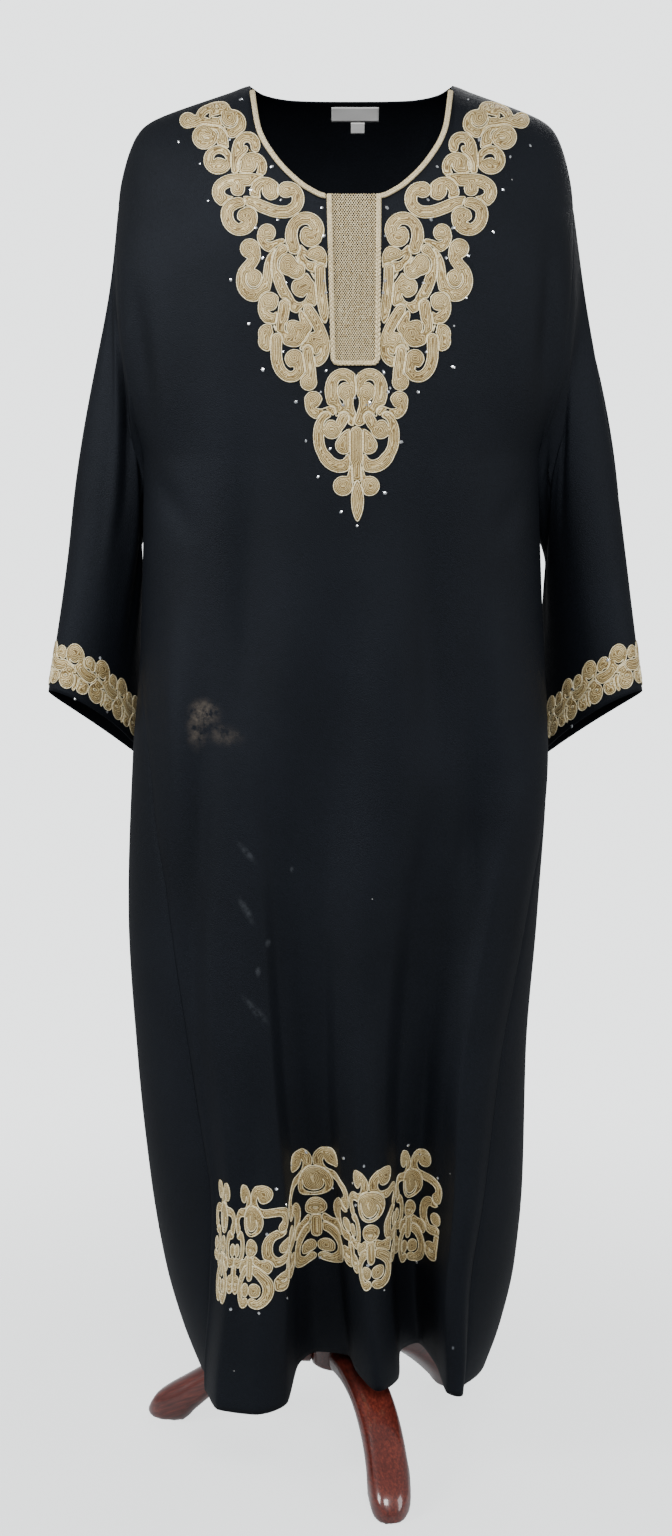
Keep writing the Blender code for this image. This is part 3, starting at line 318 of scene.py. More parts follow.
FOLD_GROWTH = (
    # height, share of the fold that has opened
    (0.10, 1.00),
    (0.15, 0.80),
    (0.22, 0.60),
    (0.35, 0.43),
    (0.50, 0.32),
    (0.65, 0.21),
    (0.80, 0.12),
    (0.95, 0.04),
    (1.10, 0.00),
)
SLEEVES = (
    # share, outer left, outer right, outer depth, outer height,
    # inner left, inner right, inner depth, inner height, half depth
    (0.00, -0.2390, 0.2520, 0.000, 1.395, -0.2145, 0.2170, 0.000, 1.131, 0.060),
    (0.12, -0.2455, 0.2610, -0.004, 1.330, -0.2225, 0.2250, 0.014, 1.104, 0.052),
    (0.30, -0.2550, 0.2730, -0.010, 1.235, -0.2300, 0.2340, 0.036, 1.045, 0.043),
    (0.60, -0.2760, 0.2960, -0.016, 1.075, -0.2290, 0.2330, 0.062, 0.945, 0.035),
    (1.00, -0.3145, 0.3285, -0.020, 0.871, -0.2220, 0.2260, 0.082, 0.800, 0.031),
)
print("tables:", len(BODY), "outline rows,", len(FRONT_FOLDS), "front folds")


# %% Reading the tables
def column(table, index):
    return np.array([row[index] for row in table], dtype=float)


def through(value, places, heights):
    """A smooth curve through the given heights that never swings past them, read at value."""
    value = np.asarray(value, dtype=float)
    rises = np.diff(heights) / np.diff(places)
    same_way = rises[1:] * rises[:-1] > 0
    both = np.where(same_way, rises[1:] + rises[:-1], 1.0)
    middle = np.where(same_way, 2 * rises[1:] * rises[:-1] / both, 0.0)
    slopes = np.concatenate((rises[:1], middle, rises[-1:]))
    i = np.clip(np.searchsorted(places, value) - 1, 0, len(places) - 2)
    step = places[i + 1] - places[i]
    t = np.clip((value - places[i]) / step, 0.0, 1.0)
    return ((2 * t**3 - 3 * t**2 + 1) * heights[i] + (t**3 - 2 * t**2 + t) * step * slopes[i]
            + (3 * t**2 - 2 * t**3) * heights[i + 1] + (t**3 - t**2) * step * slopes[i + 1])


def read(table, value, index):
    return through(value, column(table, 0), column(table, index))


def unit(vectors):
    length = np.linalg.norm(vectors, axis=-1, keepdims=True)
    return vectors / np.maximum(length, 1e-12)


# %% [markdown]
# The front and back are lofts: a place on a panel is a share of the way from the centre to a side
# seam, and a row from the shoulder line to the hem. The cloth first rounds over the shoulder, then
# hangs, and its folds open towards the hem.

# %% Front and back as a formula
def seam_angle(height, share):
    left = read(SIDE_SEAMS, height, 1)
    right = read(SIDE_SEAMS, height, 2)
    return np.radians(np.where(share < 0, left, right))


def outline(height, angle, side=1):
    """Point of the plain hanging outline at an angle from the centre front."""
    left = read(BODY, height, 1)
    right = read(BODY, height, 2)
    half = (right - left) / 2
    across = np.sin(angle)
    forward = np.cos(angle) > -1e-6 * side
    depth = np.where(forward, -read(BODY, height, 3), read(BODY, height, 4))
    seam_middle = (TIP_HEIGHT + UNDERARM) / 2
    rise = np.clip(1 - ((height - seam_middle) / (TIP_HEIGHT - seam_middle)) ** 2, 0.0, 1.0)
    reach = ARMHOLE_DEPTH * np.sqrt(rise) / np.abs(depth)
    kept = (1 - np.clip(reach, 0, 0.95) ** SQUARENESS) ** (1 / SQUARENESS)
    profile = np.clip(1 - (np.abs(across) * kept) ** SQUARENESS, 0.0, 1.0) ** (1 / SQUARENESS)
    shift = FRONT_SHIFT * np.clip((height - SHIFT_FROM) / SHIFT_OVER, 0.0, 1.0) * (1 - across**2)
    return (left + right) / 2 + half * across + shift, depth * profile


def across_folds(share, rows, values, at_seams=0.0):
    """The folds' values read across a panel, with the same value at both side seams."""
    places = np.concatenate(([-1.0], rows[:, 0], [1.0]))
    return through(share, places, np.concatenate(([at_seams], values, [at_seams])))


def front_pushes(share):
    """How far the folds stand from the plain outline at the hem."""
    rows = np.array(FRONT_FOLDS)
    heights = np.full(len(rows), SEAM_HEM)
    plain_x, plain_y = outline(heights, rows[:, 0] * seam_angle(heights, rows[:, 0]))
    return across_folds(share, rows, rows[:, 1] - plain_x), across_folds(share, rows, rows[:, 2] - plain_y)


def back_pushes(share):
    rows = np.array(BACK_FOLDS)
    return across_folds(share, rows, rows[:, 1]), across_folds(share, rows, rows[:, 2])


def hem_height(folds, share):
    rows = np.array(folds)
    return across_folds(share, rows, rows[:, 3], SEAM_HEM)


def panel(side, share, row):
    """Point of the front (side 1) or back (side -1): share -1..1 across, row 0..1 down."""
    share, row = np.broadcast_arrays(np.asarray(share, float), np.asarray(row, float))
    across = np.abs(np.sin(share * math.pi / 2)) * TIP_HALF
    ridge = read(RIDGE, across, 1)
    neck = np.where(across < NECK_HALF, read(NECK, across, 1 if side > 0 else 2), ridge)
    first = np.arccos(np.clip(1 - np.maximum(ridge - neck, 0) / ROUNDING, -1, 1))
    part = row * ROWS
    turn = first + (math.pi / 2 - first) * np.clip(part / SHOULDER_ROWS, 0.0, 1.0)
    down = np.clip((part - SHOULDER_ROWS) / SKIRT_ROWS, 0.0, 1.0) ** ROW_GROWTH
    hem = hem_height(FRONT_FOLDS if side > 0 else BACK_FOLDS, share)
    height = ridge - ROUNDING * (1 - np.cos(turn))
    height = height + (hem - (ridge - ROUNDING)) * down
    seam = seam_angle(height, share)
    angle = share * seam if side > 0 else math.pi - share * (math.pi - seam)
    x, y = outline(height, angle, side)
    y = y * np.sin(turn) ** (1.0 if side > 0 else BACK_ROUND)
    push_x, push_y = front_pushes(share) if side > 0 else back_pushes(share)
    growth = read(FOLD_GROWTH, height, 1)
    return np.stack([x + growth * push_x, y + growth * push_y, height], axis=-1)


def panel_normal(side, share, row, surface=panel):
    share, row = np.broadcast_arrays(np.asarray(share, float), np.asarray(row, float))
    along = (surface(side, np.clip(share + SLOPE_STEP, -1, 1), row)
             - surface(side, np.clip(share - SLOPE_STEP, -1, 1), row))
    down = (surface(side, share, np.clip(row + SLOPE_STEP, 0, 1))
            - surface(side, share, np.clip(row - SLOPE_STEP, 0, 1)))
    return unit(np.cross(down, along) * side)


UNDERARM = 1.131                     # first guess, then read off the panel itself
for _ in range(4):
    UNDERARM = float(panel(1, 1.0, UNDERARM_ROW / ROWS)[2])
print("underarm height:", round(UNDERARM, 4))


# %% [markdown]
# A sleeve is a tube that starts on the armhole seam and narrows to two soft folds, an outer and an
# inner one, as a worn-out arm of cloth does when it hangs.

# %% Sleeves as a formula
def armhole(hand, turn):
    """Point of the armhole seam at turn 0..1 round it."""
    turn = np.mod(np.asarray(turn, float), 1.0)
    front = turn <= 0.5
    row = np.where(front, turn, 1 - turn) * 2 * UNDERARM_ROW / ROWS
    share = np.full_like(row, float(hand))
    return np.where(front[..., None], panel(1, share, row), panel(-1, share, row))


def sleeve(hand, turn, share):
    """Point of a sleeve: turn 0..1 from the shoulder point round by the front, share 0..1 down."""
    turn, share = np.broadcast_arrays(np.asarray(turn, float), np.asarray(share, float))
    pick = 2 if hand > 0 else 1
    outer, inner = (np.stack([read(SLEEVES, share, k) for k in (first, *others)], -1)
                    for first, others in ((pick, (3, 4)), (pick + 4, (7, 8))))
    depth = read(SLEEVES, share, 9)
    angle = 2 * math.pi * turn
    high = (1 + np.cos(angle)) / 2
    first = SLEEVES[0]
    first_outer = np.array([first[pick], first[3], first[4]])
    first_inner = np.array([first[pick + 4], first[7], first[8]])
    from_seam = (armhole(hand, turn) + high[..., None] * (outer - first_outer)
                 + (1 - high)[..., None] * (inner - first_inner))
    half = (outer - inner) / 2
    forward = unit(np.stack([half[..., 1] * hand, -half[..., 0] * hand], -1))
    bulge = depth * np.sin(angle) * (1 + SLEEVE_LEAN * np.cos(angle))
    ring = (outer + inner) / 2 + np.cos(angle)[..., None] * half
    ring[..., 0] += bulge * forward[..., 0]
    ring[..., 1] += bulge * forward[..., 1]
    blend = np.clip(share / SLEEVE_BLEND, 0.0, 1.0)
    blend = (blend * blend * (3 - 2 * blend))[..., None]
    return from_seam * (1 - blend) + ring * blend


def sleeve_normal(hand, turn, share, surface=sleeve):
    turn, share = np.broadcast_arrays(np.asarray(turn, float), np.asarray(share, float))
    round_it = surface(hand, turn + SLOPE_STEP, share) - surface(hand, turn - SLOPE_STEP, share)
    down = (surface(hand, turn, np.clip(share + SLOPE_STEP, 0, 1))
            - surface(hand, turn, np.clip(share - SLOPE_STEP, 0, 1)))
    return unit(np.cross(down, round_it) * -hand)


# %% [markdown]
# Every cloth piece is one flat grid of cells, moved to its places on the formula and then given its
# thickness by a Solidify modifier. Its own map counts metres along the cloth both ways.

# %% Draped grids
def lengths_along(points, axis):
    """Distance travelled along one direction of a field of points."""
    steps = np.linalg.norm(np.diff(points, axis=axis), axis=-1)
    start = np.zeros_like(np.take(steps, [0], axis=axis))
    return np.cumsum(np.concatenate((start, steps), axis=axis), axis=axis)


def draped(name, points, finish, thickness, outward, closed=False):
    """A grid with one vertex for each point, laid on the points, in the frame's place."""
    across, down = points.shape[:2]
    bm = bmesh.new()
    bmesh.ops.create_grid(bm, x_segments=across - 1, y_segments=down - 1, size=0.5)
    mesh = mesh_from(bm, name)
    flat = np.empty(len(mesh.vertices) * 3)
    mesh.vertices.foreach_get("co", flat)
    flat = flat.reshape(-1, 3)
    i = np.rint((flat[:, 0] + 0.5) * (across - 1)).astype(int)
    j = np.rint((flat[:, 1] + 0.5) * (down - 1)).astype(int)
    mesh.vertices.foreach_set("co", (points[i, j] + AXIS).ravel())
    corner = np.empty(len(mesh.loops), dtype=int)
    mesh.loops.foreach_get("vertex_index", corner)
    metres = np.stack([lengths_along(points, 0)[i, j], lengths_along(points, 1)[i, j]], -1)
    mesh.uv_layers.new(name="cloth").data.foreach_set("uv", metres[corner].ravel())
    mesh.update()
    normals = np.empty(len(mesh.vertices) * 3)
    mesh.vertices.foreach_get("normal", normals)
    if (normals.reshape(-1, 3) * outward[i, j]).sum() < 0:
        mesh.flip_normals()
    if closed:
        bm = bmesh.new()
        bm.from_mesh(mesh)
        bmesh.ops.remove_doubles(bm, verts=bm.verts[:], dist=1e-5)
        bm.to_mesh(mesh)
        bm.free()
    mesh.shade_smooth()
    mesh.materials.append(finish)
    piece = in_scene(name, mesh)
    wall = piece.modifiers.new("Wall", "SOLIDIFY")
    wall.thickness = thickness
    wall.offset = -1.0
    wall.use_even_offset = False
    print(name, len(mesh.polygons), "cells")
    return piece


# %% [markdown]
# Crepe falls in a few long folds with softer creases between them: short pulls at the armholes,
# slack under the bib, long swells down the skirt. Each crease is a line across the panel that is
# pushed out or in along it, strongest in its middle. None has the length or depth of its neighbour.

# %% Creases of the front and back
FRONT_CREASES = (
    # across and height of its two ends, half width, push outwards
    (-0.221, 1.330, -0.196, 1.135, 0.013, -0.0060),
    (-0.205, 1.290, -0.172, 1.060, 0.018, 0.0035),
    (0.226, 1.400, 0.214, 1.140, 0.012, -0.0055),
    (0.206, 1.330, 0.176, 1.080, 0.017, 0.0030),
    (-0.126, 1.330, -0.118, 1.020, 0.024, 0.0032),
    (-0.096, 1.170, -0.104, 0.800, 0.020, -0.0068),
    (0.128, 1.310, 0.116, 0.980, 0.024, 0.0030),
    (0.088, 1.150, 0.100, 0.780, 0.019, -0.0065),
    (-0.046, 1.110, -0.060, 0.640, 0.026, 0.0071),
    (0.052, 1.080, 0.066, 0.660, 0.024, 0.0061),
    (0.004, 1.020, -0.004, 0.560, 0.024, -0.0058),
    (-0.168, 1.020, -0.178, 0.640, 0.020, 0.0076),
    (-0.146, 0.920, -0.160, 0.480, 0.015, -0.0071),
    (0.162, 1.010, 0.176, 0.690, 0.021, 0.0068),
    (0.136, 0.860, 0.148, 0.520, 0.015, -0.0061),
    (-0.205, 1.120, -0.150, 1.035, 0.014, -0.0028),
    (0.207, 1.115, 0.158, 1.020, 0.014, -0.0026),
    (-0.088, 0.520, -0.100, 0.190, 0.016, -0.0061),
    (-0.020, 0.440, -0.012, 0.170, 0.014, -0.0030),
    (0.026, 0.560, 0.038, 0.200, 0.017, 0.0054),
    (0.118, 0.450, 0.108, 0.180, 0.013, -0.0054),
)
BACK_CREASES = (
    # the same columns
    (-0.150, 1.420, -0.110, 1.130, 0.020, -0.0036),
    (0.146, 1.410, 0.118, 1.150, 0.020, -0.0034),
    (-0.060, 1.380, -0.070, 0.980, 0.030, 0.0034),
    (0.066, 1.360, 0.052, 0.930, 0.028, 0.0032),
    (0.000, 1.180, 0.008, 0.720, 0.024, -0.0040),
    (-0.196, 1.190, -0.150, 1.060, 0.015, -0.0030),
    (0.200, 1.180, 0.152, 1.040, 0.015, -0.0032),
    (-0.128, 1.040, -0.140, 0.560, 0.021, 0.0046),
    (0.122, 1.020, 0.136, 0.600, 0.022, 0.0042),
    (-0.086, 0.820, -0.094, 0.330, 0.018, -0.0042),
    (0.078, 0.800, 0.084, 0.310, 0.019, -0.0046),
    (-0.176, 0.800, -0.168, 0.360, 0.016, 0.0036),
    (0.170, 0.760, 0.160, 0.350, 0.017, 0.0038),
    (0.020, 0.560, 0.014, 0.180, 0.018, 0.0036),
)
SEAM_DIP = 0.0009                    # how far the cloth sinks where it is sewn
SEAM_SPREAD = 0.0032                 # how wide that dip is
HALF_ROUND = 0.30                    # cloth from the centre front to a side seam
EDGE_CALM = 0.02                     # creases die out over this much cloth at a seam
CREASE_FADE = 1.4


def crease_push(a, b, creases):
    """Sum of the pushes at places (a, b), each crease fading to its ends and to its sides."""
    total = np.zeros(np.broadcast(a, b).shape)
    for a0, b0, a1, b1, width, push in creases:
        length = math.hypot(a1 - a0, b1 - b0)
        along = ((a - a0) * (a1 - a0) + (b - b0) * (b1 - b0)) / length**2
        off = ((a - a0) * (b1 - b0) - (b - b0) * (a1 - a0)) / length
        fade = np.sin(np.clip(along, 0.0, 1.0) * math.pi) ** CREASE_FADE
        total = total + push * fade * np.exp(-(off / width) ** 2)
    return total


def cloth_point(side, share, row):
    """Point of the front or back cloth with its creases and its sewn edges."""
    plain = panel(side, share, row)
    normal = panel_normal(side, share, row)
    push = crease_push(plain[..., 0], plain[..., 2], FRONT_CREASES if side > 0 else BACK_CREASES)
    share = np.broadcast_to(np.asarray(share, float), push.shape)
    edge = (1 - np.abs(share)) * HALF_ROUND
    push = push * np.clip(edge / EDGE_CALM, 0.0, 1.0) - SEAM_DIP * np.exp(-(edge / SEAM_SPREAD) ** 2)
    return plain + normal * push[..., None]


print("creases:", len(FRONT_CREASES), "in front,", len(BACK_CREASES), "behind")

# %% [markdown]
# A hanging sleeve twists slowly, so its creases run down it and lean. They are drawn on a flat chart
# half a metre wide and long, which is stretched over the sleeve: across from the outer fold round by
# the front, and down from the armhole.

# %% Creases of the sleeves
SLEEVE_CREASES = (
    # across and down the chart at its two ends, half width, push outwards
    (0.035, 0.03, 0.055, 0.40, 0.011, 0.0034),
    (0.075, 0.02, 0.070, 0.34, 0.012, -0.0042),
    (0.110, 0.06, 0.100, 0.44, 0.012, 0.0036),
    (0.150, 0.10, 0.120, 0.46, 0.010, -0.0036),
    (0.205, 0.01, 0.150, 0.17, 0.011, 0.0048),
    (0.232, 0.03, 0.170, 0.24, 0.010, -0.0044),
    (0.300, 0.04, 0.330, 0.40, 0.013, 0.0036),
    (0.350, 0.02, 0.365, 0.32, 0.012, -0.0040),
    (0.410, 0.05, 0.400, 0.36, 0.012, 0.0034),
)
SLEEVE_ROUND = 0.50                  # width and length of the creases' chart
SLEEVE_LENGTH = 0.50
LOWER, HIGHER = 1.1, 0.93            # the right sleeve's creases start and end at other heights
MIRRORED_CREASES = tuple((SLEEVE_ROUND - a0, b0 * LOWER, SLEEVE_ROUND - a1, b1 * HIGHER, width, -push)
                         for a0, b0, a1, b1, width, push in SLEEVE_CREASES)
CUFF_DROP_FROM = 0.6                 # share down the sleeve from which its cuff hangs lower
CUFF_INNER_DROP, CUFF_FRONT_DROP = 0.020, 0.005
INNER_FULL, FULL_DOWN, FULL_REACH = 0.022, 0.105, 0.070    # the sleeve swells against the body


def sleeve_point(hand, turn, share):
    plain = sleeve(hand, turn, share)
    normal = sleeve_normal(hand, turn, share)
    turn, share = np.broadcast_arrays(np.mod(np.asarray(turn, float), 1.0), np.asarray(share, float))
    creases = SLEEVE_CREASES if hand < 0 else MIRRORED_CREASES
    down = share * SLEEVE_LENGTH
    push = crease_push(turn * SLEEVE_ROUND, down, creases)
    push = push * np.clip(down / EDGE_CALM, 0.0, 1.0) - SEAM_DIP * np.exp(-(down / SEAM_SPREAD) ** 2)
    point = plain + normal * push[..., None]
    angle = 2 * math.pi * turn
    inner = (1 - np.cos(angle)) / 2
    point[..., 0] -= hand * INNER_FULL * inner**3 * np.exp(-((down - FULL_DOWN) / FULL_REACH) ** 2)
    drop = CUFF_INNER_DROP * inner**2 + CUFF_FRONT_DROP * np.sin(angle)
    point[..., 2] -= drop * np.clip((share - CUFF_DROP_FROM) / (1 - CUFF_DROP_FROM), 0.0, 1.0) ** 2
    return point


print("creases:", len(SLEEVE_CREASES), "in each sleeve")

# %% [markdown]
# The cloth is a crepe of fine twisted yarn, dyed near black with a cold cast. It drinks light, so
# the eye only sees a soft grey sheen on what turns away, with a fine pebbled grain. The grain is
# drawn at 1.1 mm, about twice the real yarn, so that it still shows from a step away.

# %% Black crepe
GRAIN_MM = 1.1
BROAD_MM = 143.0                     # size of the clouds in which the dye took more or less
LINT_MM = 29.4                       # size of the cells that may hold a speck
CREPE_DARK, CREPE_LIGHT, LINT = "#030405", "#12151b", "#9a9a98"


def crepe_base(name):
    """The crepe's own colour and grain. Gives back its tree, its place and its colour to add to."""
    material, tree, shader, place = new_finish(name)
    grain = noise(tree, place, GRAIN_MM)
    tone = between(tree, 0.65, noise(tree, place, BROAD_MM, 3.0), grain)
    colour = ramp(tree, tone, ((0.32, CREPE_DARK), (0.68, CREPE_LIGHT)))
    bumped(tree, shader, grain, 0.8, 0.7)
    set_values(shader, Roughness=0.60, Specular_IOR_Level=0.25, Specular_Tint=linear("#c6cfdf"))
    return material, tree, shader, place, colour


def lint(tree, place, colour):
    """Rare specks of dust: the middles of large cells, and only a few of the cells."""
    cells = add(tree, "ShaderNodeTexVoronoi", {"Vector": place, "Scale": MM / LINT_MM})
    dot = maths(tree, "LESS_THAN", cells.outputs["Distance"], 0.024)
    drawn = add(tree, "ShaderNodeSeparateColor", {"Color": cells.outputs["Color"]}).outputs[0]
    speck = maths(tree, "MULTIPLY", dot, maths(tree, "GREATER_THAN", drawn, 0.86))
    return laid_over(tree, speck, colour, LINT)


crepe, tree, shader, place, colour = crepe_base("black_polyester_crepe")
tree.links.new(lint(tree, place, colour), shader.inputs["Base Color"])
print("finish:", crepe.name)

# %% [markdown]
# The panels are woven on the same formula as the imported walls, in cells of about 5 mm, with a few
# narrow columns at each side seam so that the sewn dip has a real shape. Row by row the cloth keeps
# its place in the frame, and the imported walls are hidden.

# %% Front and back cloth
PANEL_COLUMNS = 161
PANEL_ROWS = 241
EDGE_COLUMNS = (0.9985, 0.995, 0.990, 0.983, 0.974)

middle_columns = np.linspace(-0.965, 0.965, PANEL_COLUMNS)
edge_columns = np.array([1.0, *EDGE_COLUMNS])
PANEL_SHARES = np.concatenate((-edge_columns, middle_columns, edge_columns[::-1]))


def area_of(points):
    """Area of a field of points, cell by cell."""
    first = points[1:, :-1] - points[:-1, :-1]
    second = points[:-1, 1:] - points[:-1, :-1]
    return float(np.linalg.norm(np.cross(first, second), axis=-1).sum())


panels = {}
for side, node in ((1, "front"), (-1, "back")):
    share, row = np.meshgrid(PANEL_SHARES, np.linspace(0, 1, PANEL_ROWS), indexing="ij")
    points = cloth_point(side, share, row)
    piece = panels[node] = draped(node + "_cloth", points, crepe, WALL, panel_normal(side, share, row))
    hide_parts(node)
    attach(piece, "root")
    print(node, "area", round(area_of(points), 3), "hem", round(float(lengths_along(points, 0)[-1, -1]), 3))

# %% Sleeve cloth
SLEEVE_AROUND = SLEEVE_DOWN = 121
SEAM_SHARES = (0.0, 0.004, 0.009, 0.016)     # narrow cells at the armhole's seam

sleeves = {}
for node, hand in (("sleeve_left", -1), ("sleeve_right", 1)):
    downs = np.concatenate((SEAM_SHARES, np.linspace(0.025, 1, SLEEVE_DOWN - 4)))
    turn, share = np.meshgrid(np.linspace(0, 1, SLEEVE_AROUND), downs, indexing="ij")
    points = sleeve_point(hand, turn, share)
    piece = sleeves[node] = draped(node + "_cloth", points, crepe, WALL, sleeve_normal(hand, turn, share),
                                   closed=True)
    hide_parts(node)
    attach(piece, "root")
    armhole_round = float(lengths_along(points, 0)[-1, 0])
    print(node, "area", round(area_of(points), 3), "round", round(armhole_round, 3))

# %% [markdown]
# The embroidery is couched work: bands of satin filling that curl into round eyes, each edged with
# a pale cord. It is charted like a maker's drawing. A scroll is a group of strokes: a band along a
# few points, a ball, a leaf, and slits that are left open to the cloth. The chart of the yoke is in
# picture places, one half, and the other half is its mirror image.

# %% The yoke's chart
YOKE_MIRROR = 354.5
YOKE = (
    (("ball", 8, ((188, 120.8),)), ("band", 11, ((190, 121.5), (205, 122.5), (220, 124))),
     ("band", 12.5, ((203, 114.5), (211, 110.5), (218, 108.7), (224, 108.3))),
     ("ball", 14, ((232, 124),)),
     ("slit", 2, ((222.5, 112), (221, 117), (222, 122), (226, 126.5), (231, 127.7), (235.5, 125.5),
                  (238, 121), (237, 116))),
     ("slit", 3.4, ((204, 118), (207.5, 116), (210.5, 112.5))), ("slit", 2.6, ((207, 117), (211, 119))),
     ("slit", 3, ((216, 105.5), (218.5, 109)))),
    (("ball", 12.3, ((205, 137.3),)),
     ("band", 11, ((212, 131.5), (219.5, 133), (222.5, 140), (223, 149))),
     ("slit", 2, ((211, 129), (216, 131), (218.3, 135), (218.6, 140))),
     ("slit", 1.8, ((203, 136), (205.5, 138.5), (210, 138.3)))),
    (("ball", 14.2, ((218.3, 160.2),)),
     ("slit", 5, ((213.8, 161), (215, 157.3), (219, 155.6), (223.5, 157.2), (227, 161)))),
    (("band", 10, ((237.6, 180), (237, 168), (237, 155), (239, 144), (245, 137.5), (252, 138.3),
                   (255.4, 144.5), (254, 149.3))),
     ("band", 6, ((242, 158), (243.5, 152), (245.3, 148.5))),
     ("slit", 2.2, ((243.8, 147.5), (244.3, 143.6), (247.5, 142.3), (250, 145), (250.4, 149),
                    (253, 152.5)))),
    (("ball", 14.3, ((252.5, 167),)),
     ("slit", 3.4, ((239.3, 171.5), (242.5, 174.6), (248, 175.5), (254, 173.3), (257.4, 168.7),
                    (256.7, 162.5))),
     ("slit", 1.8, ((239.8, 171), (240.2, 165), (242, 160)))),
    (("band", 12, ((262, 181.5), (252, 180), (240, 180), (228, 181.5), (219.5, 187.5), (219.5, 196.5),
                   (228, 202.3), (240, 202.5), (250, 202))),
     ("ball", 7, ((238, 189.3),))),
    (("band", 9.5, ((256.3, 200), (254.8, 192), (258, 185.2), (264.5, 182), (271, 184))),
     ("ball", 9.8, ((270.6, 190.3),)),
     ("slit", 2.8, ((263.3, 186.5), (261.4, 192), (263.7, 197.7), (269.5, 201.3), (277, 202)))),
    (("band", 11.5, ((238, 202.3), (252, 203), (264, 207.5), (276, 211.6), (288, 211.8), (296.4, 206),
                     (298.3, 197.5), (294.8, 190), (288, 187.6))),
     ("ball", 8, ((286, 190),))),
    (("band", 11.5, ((240, 203), (230.5, 206), (227, 214), (229.5, 223.5), (237, 229.6), (246, 228.5),
                     (251.5, 222))),
     ("ball", 10, ((247.5, 216.7),)),
     ("slit", 3.8, ((245.5, 208.3), (239, 209), (235.6, 214.5), (237.3, 220.3), (244, 222.6))),
     ("slit", 1.7, ((241, 207.7), (248, 206.3), (257, 208.5)))),
    (("ball", 8.7, ((267, 232.7),)),
     ("band", 10.5, ((262.3, 237), (265.5, 244), (272, 247.5), (280, 246.5))),
     ("band", 12.5, ((276, 247), (285, 245), (294, 247.5), (301, 254), (308, 262), (315, 266.5),
                     (320.5, 266))),
     ("slit", 2.4, ((265.5, 239), (269.5, 241.3), (275, 240.7))),
     ("band", 9, ((320.4, 252), (322.6, 259), (320.5, 267))), ("ball", 8.8, ((316.5, 254.7),)),
     ("slit", 3, ((303, 254), (309, 260), (318, 261.7)))),
    (("band", 12, ((294, 249), (291.6, 239), (293, 227.5), (300, 219.7), (309, 218.5), (316.4, 224),
                   (318.3, 232))),
     ("ball", 11, ((311, 236),)),
     ("slit", 3.6, ((312.3, 230), (307, 226), (301.5, 226.5), (299, 232), (299, 240), (300.8, 248)))),
    (("ball", 9.7, ((250, 248.6),)),
     ("band", 11, ((254.4, 250), (255, 257), (250.5, 264.5), (245.5, 270))),
     ("band", 12.5, ((248, 268), (244.3, 273.5), (242.8, 281), (245, 289.5), (252, 295.4), (260, 293),
                     (264.5, 287))),
     ("band", 9, ((262.5, 290), (267, 282), (268.3, 272), (270, 262.5), (274.2, 255), (281, 250))),
     ("ball", 9.8, ((253, 279),)),
     ("slit", 1.8, ((247.8, 272), (246, 278), (247.5, 284), (252.5, 288.3), (258, 286.6), (261.3, 281.5),
                    (262, 275)))),
    (("band", 10.3, ((283, 249), (278.6, 256), (277.2, 266), (278.3, 277), (281.5, 287), (287, 297),
                     (294, 304.5))),
     ("band", 12, ((288, 299), (296, 306.7), (305, 306.5), (311.5, 300.5), (313.3, 291.5), (312, 283),
                   (308, 277.5))),
     ("ball", 10.4, ((302, 287),)),
     ("slit", 4.2, ((291.5, 294), (296.5, 300), (302.5, 300.3), (307.8, 293))),
     ("slit", 3.4, ((302.5, 273), (307.5, 272), (311, 276), (315, 283.5)))),
    (("ball", 10.8, ((289, 264.6),)), ("ball", 9, ((296, 270),)),
     ("slit", 2.6, ((280, 272.5), (278.2, 264), (281, 256.5), (286.5, 252.8), (292, 254), (296, 259),
                    (299.5, 265)))),
    (("band", 9.5, ((320, 268), (320.3, 280), (321.8, 296), (323.3, 308))),
     ("leaf", 9, ((322.3, 296), (323.6, 308), (325.3, 324)))),
    (("ball", 10.3, ((269.5, 302.5),)),
     ("band", 11, ((264, 304), (264, 311), (268, 318), (276, 319), (281, 314))),
     ("slit", 3.4, ((278.7, 296.5), (279.2, 304), (276.5, 309.8), (272, 311.6), (267, 310)))),
    (("ball", 9.6, ((268, 333.5),)), ("ball", 9.6, ((268, 341.5),)),
     ("band", 8, ((273.5, 329), (273.5, 345))), ("slit", 3, ((272, 323.5), (273.8, 330), (275.8, 337)))),
    (("band", 10.5, ((284.5, 304), (283.7, 312), (282.2, 321), (282, 330), (286, 338.5), (293.5, 341.7),
                     (301.5, 339), (306, 331.5), (306, 322), (304, 314))),
     ("ball", 8.4, ((293, 328.5),)), ("ball", 8, ((300, 330),)),
     ("slit", 2.2, ((288.5, 320), (285.6, 325), (285.5, 330), (289, 334.3)))),
    (("band", 10, ((308, 309), (315, 320), (321.3, 333), (324.7, 345), (322.5, 356), (315.5, 362))),
     ("ball", 14.3, ((313.8, 352.7),)), ("band", 12, ((313, 338), (315, 347))),
     ("slit", 2.2, ((309.8, 345), (311, 351.5), (315.5, 355.6), (320, 353), (321.3, 347)))),
    (("band", 10.5, ((276.8, 338), (276.2, 350), (277, 361), (281, 371), (288.5, 376.8), (296, 375.5),
                     (300.5, 369), (301.5, 361))),
     ("ball", 9.4, ((294.4, 358.8),)),
     ("slit", 3.8, ((284, 360), (286.5, 366.5), (290.5, 368.8), (294.5, 366)))),
    (("band", 9.6, ((307.5, 350), (309, 360), (310.6, 370), (311.3, 379))),
     ("ball", 8.3, ((308.6, 382.3),))),
)
print("yoke scrolls:", len(YOKE))

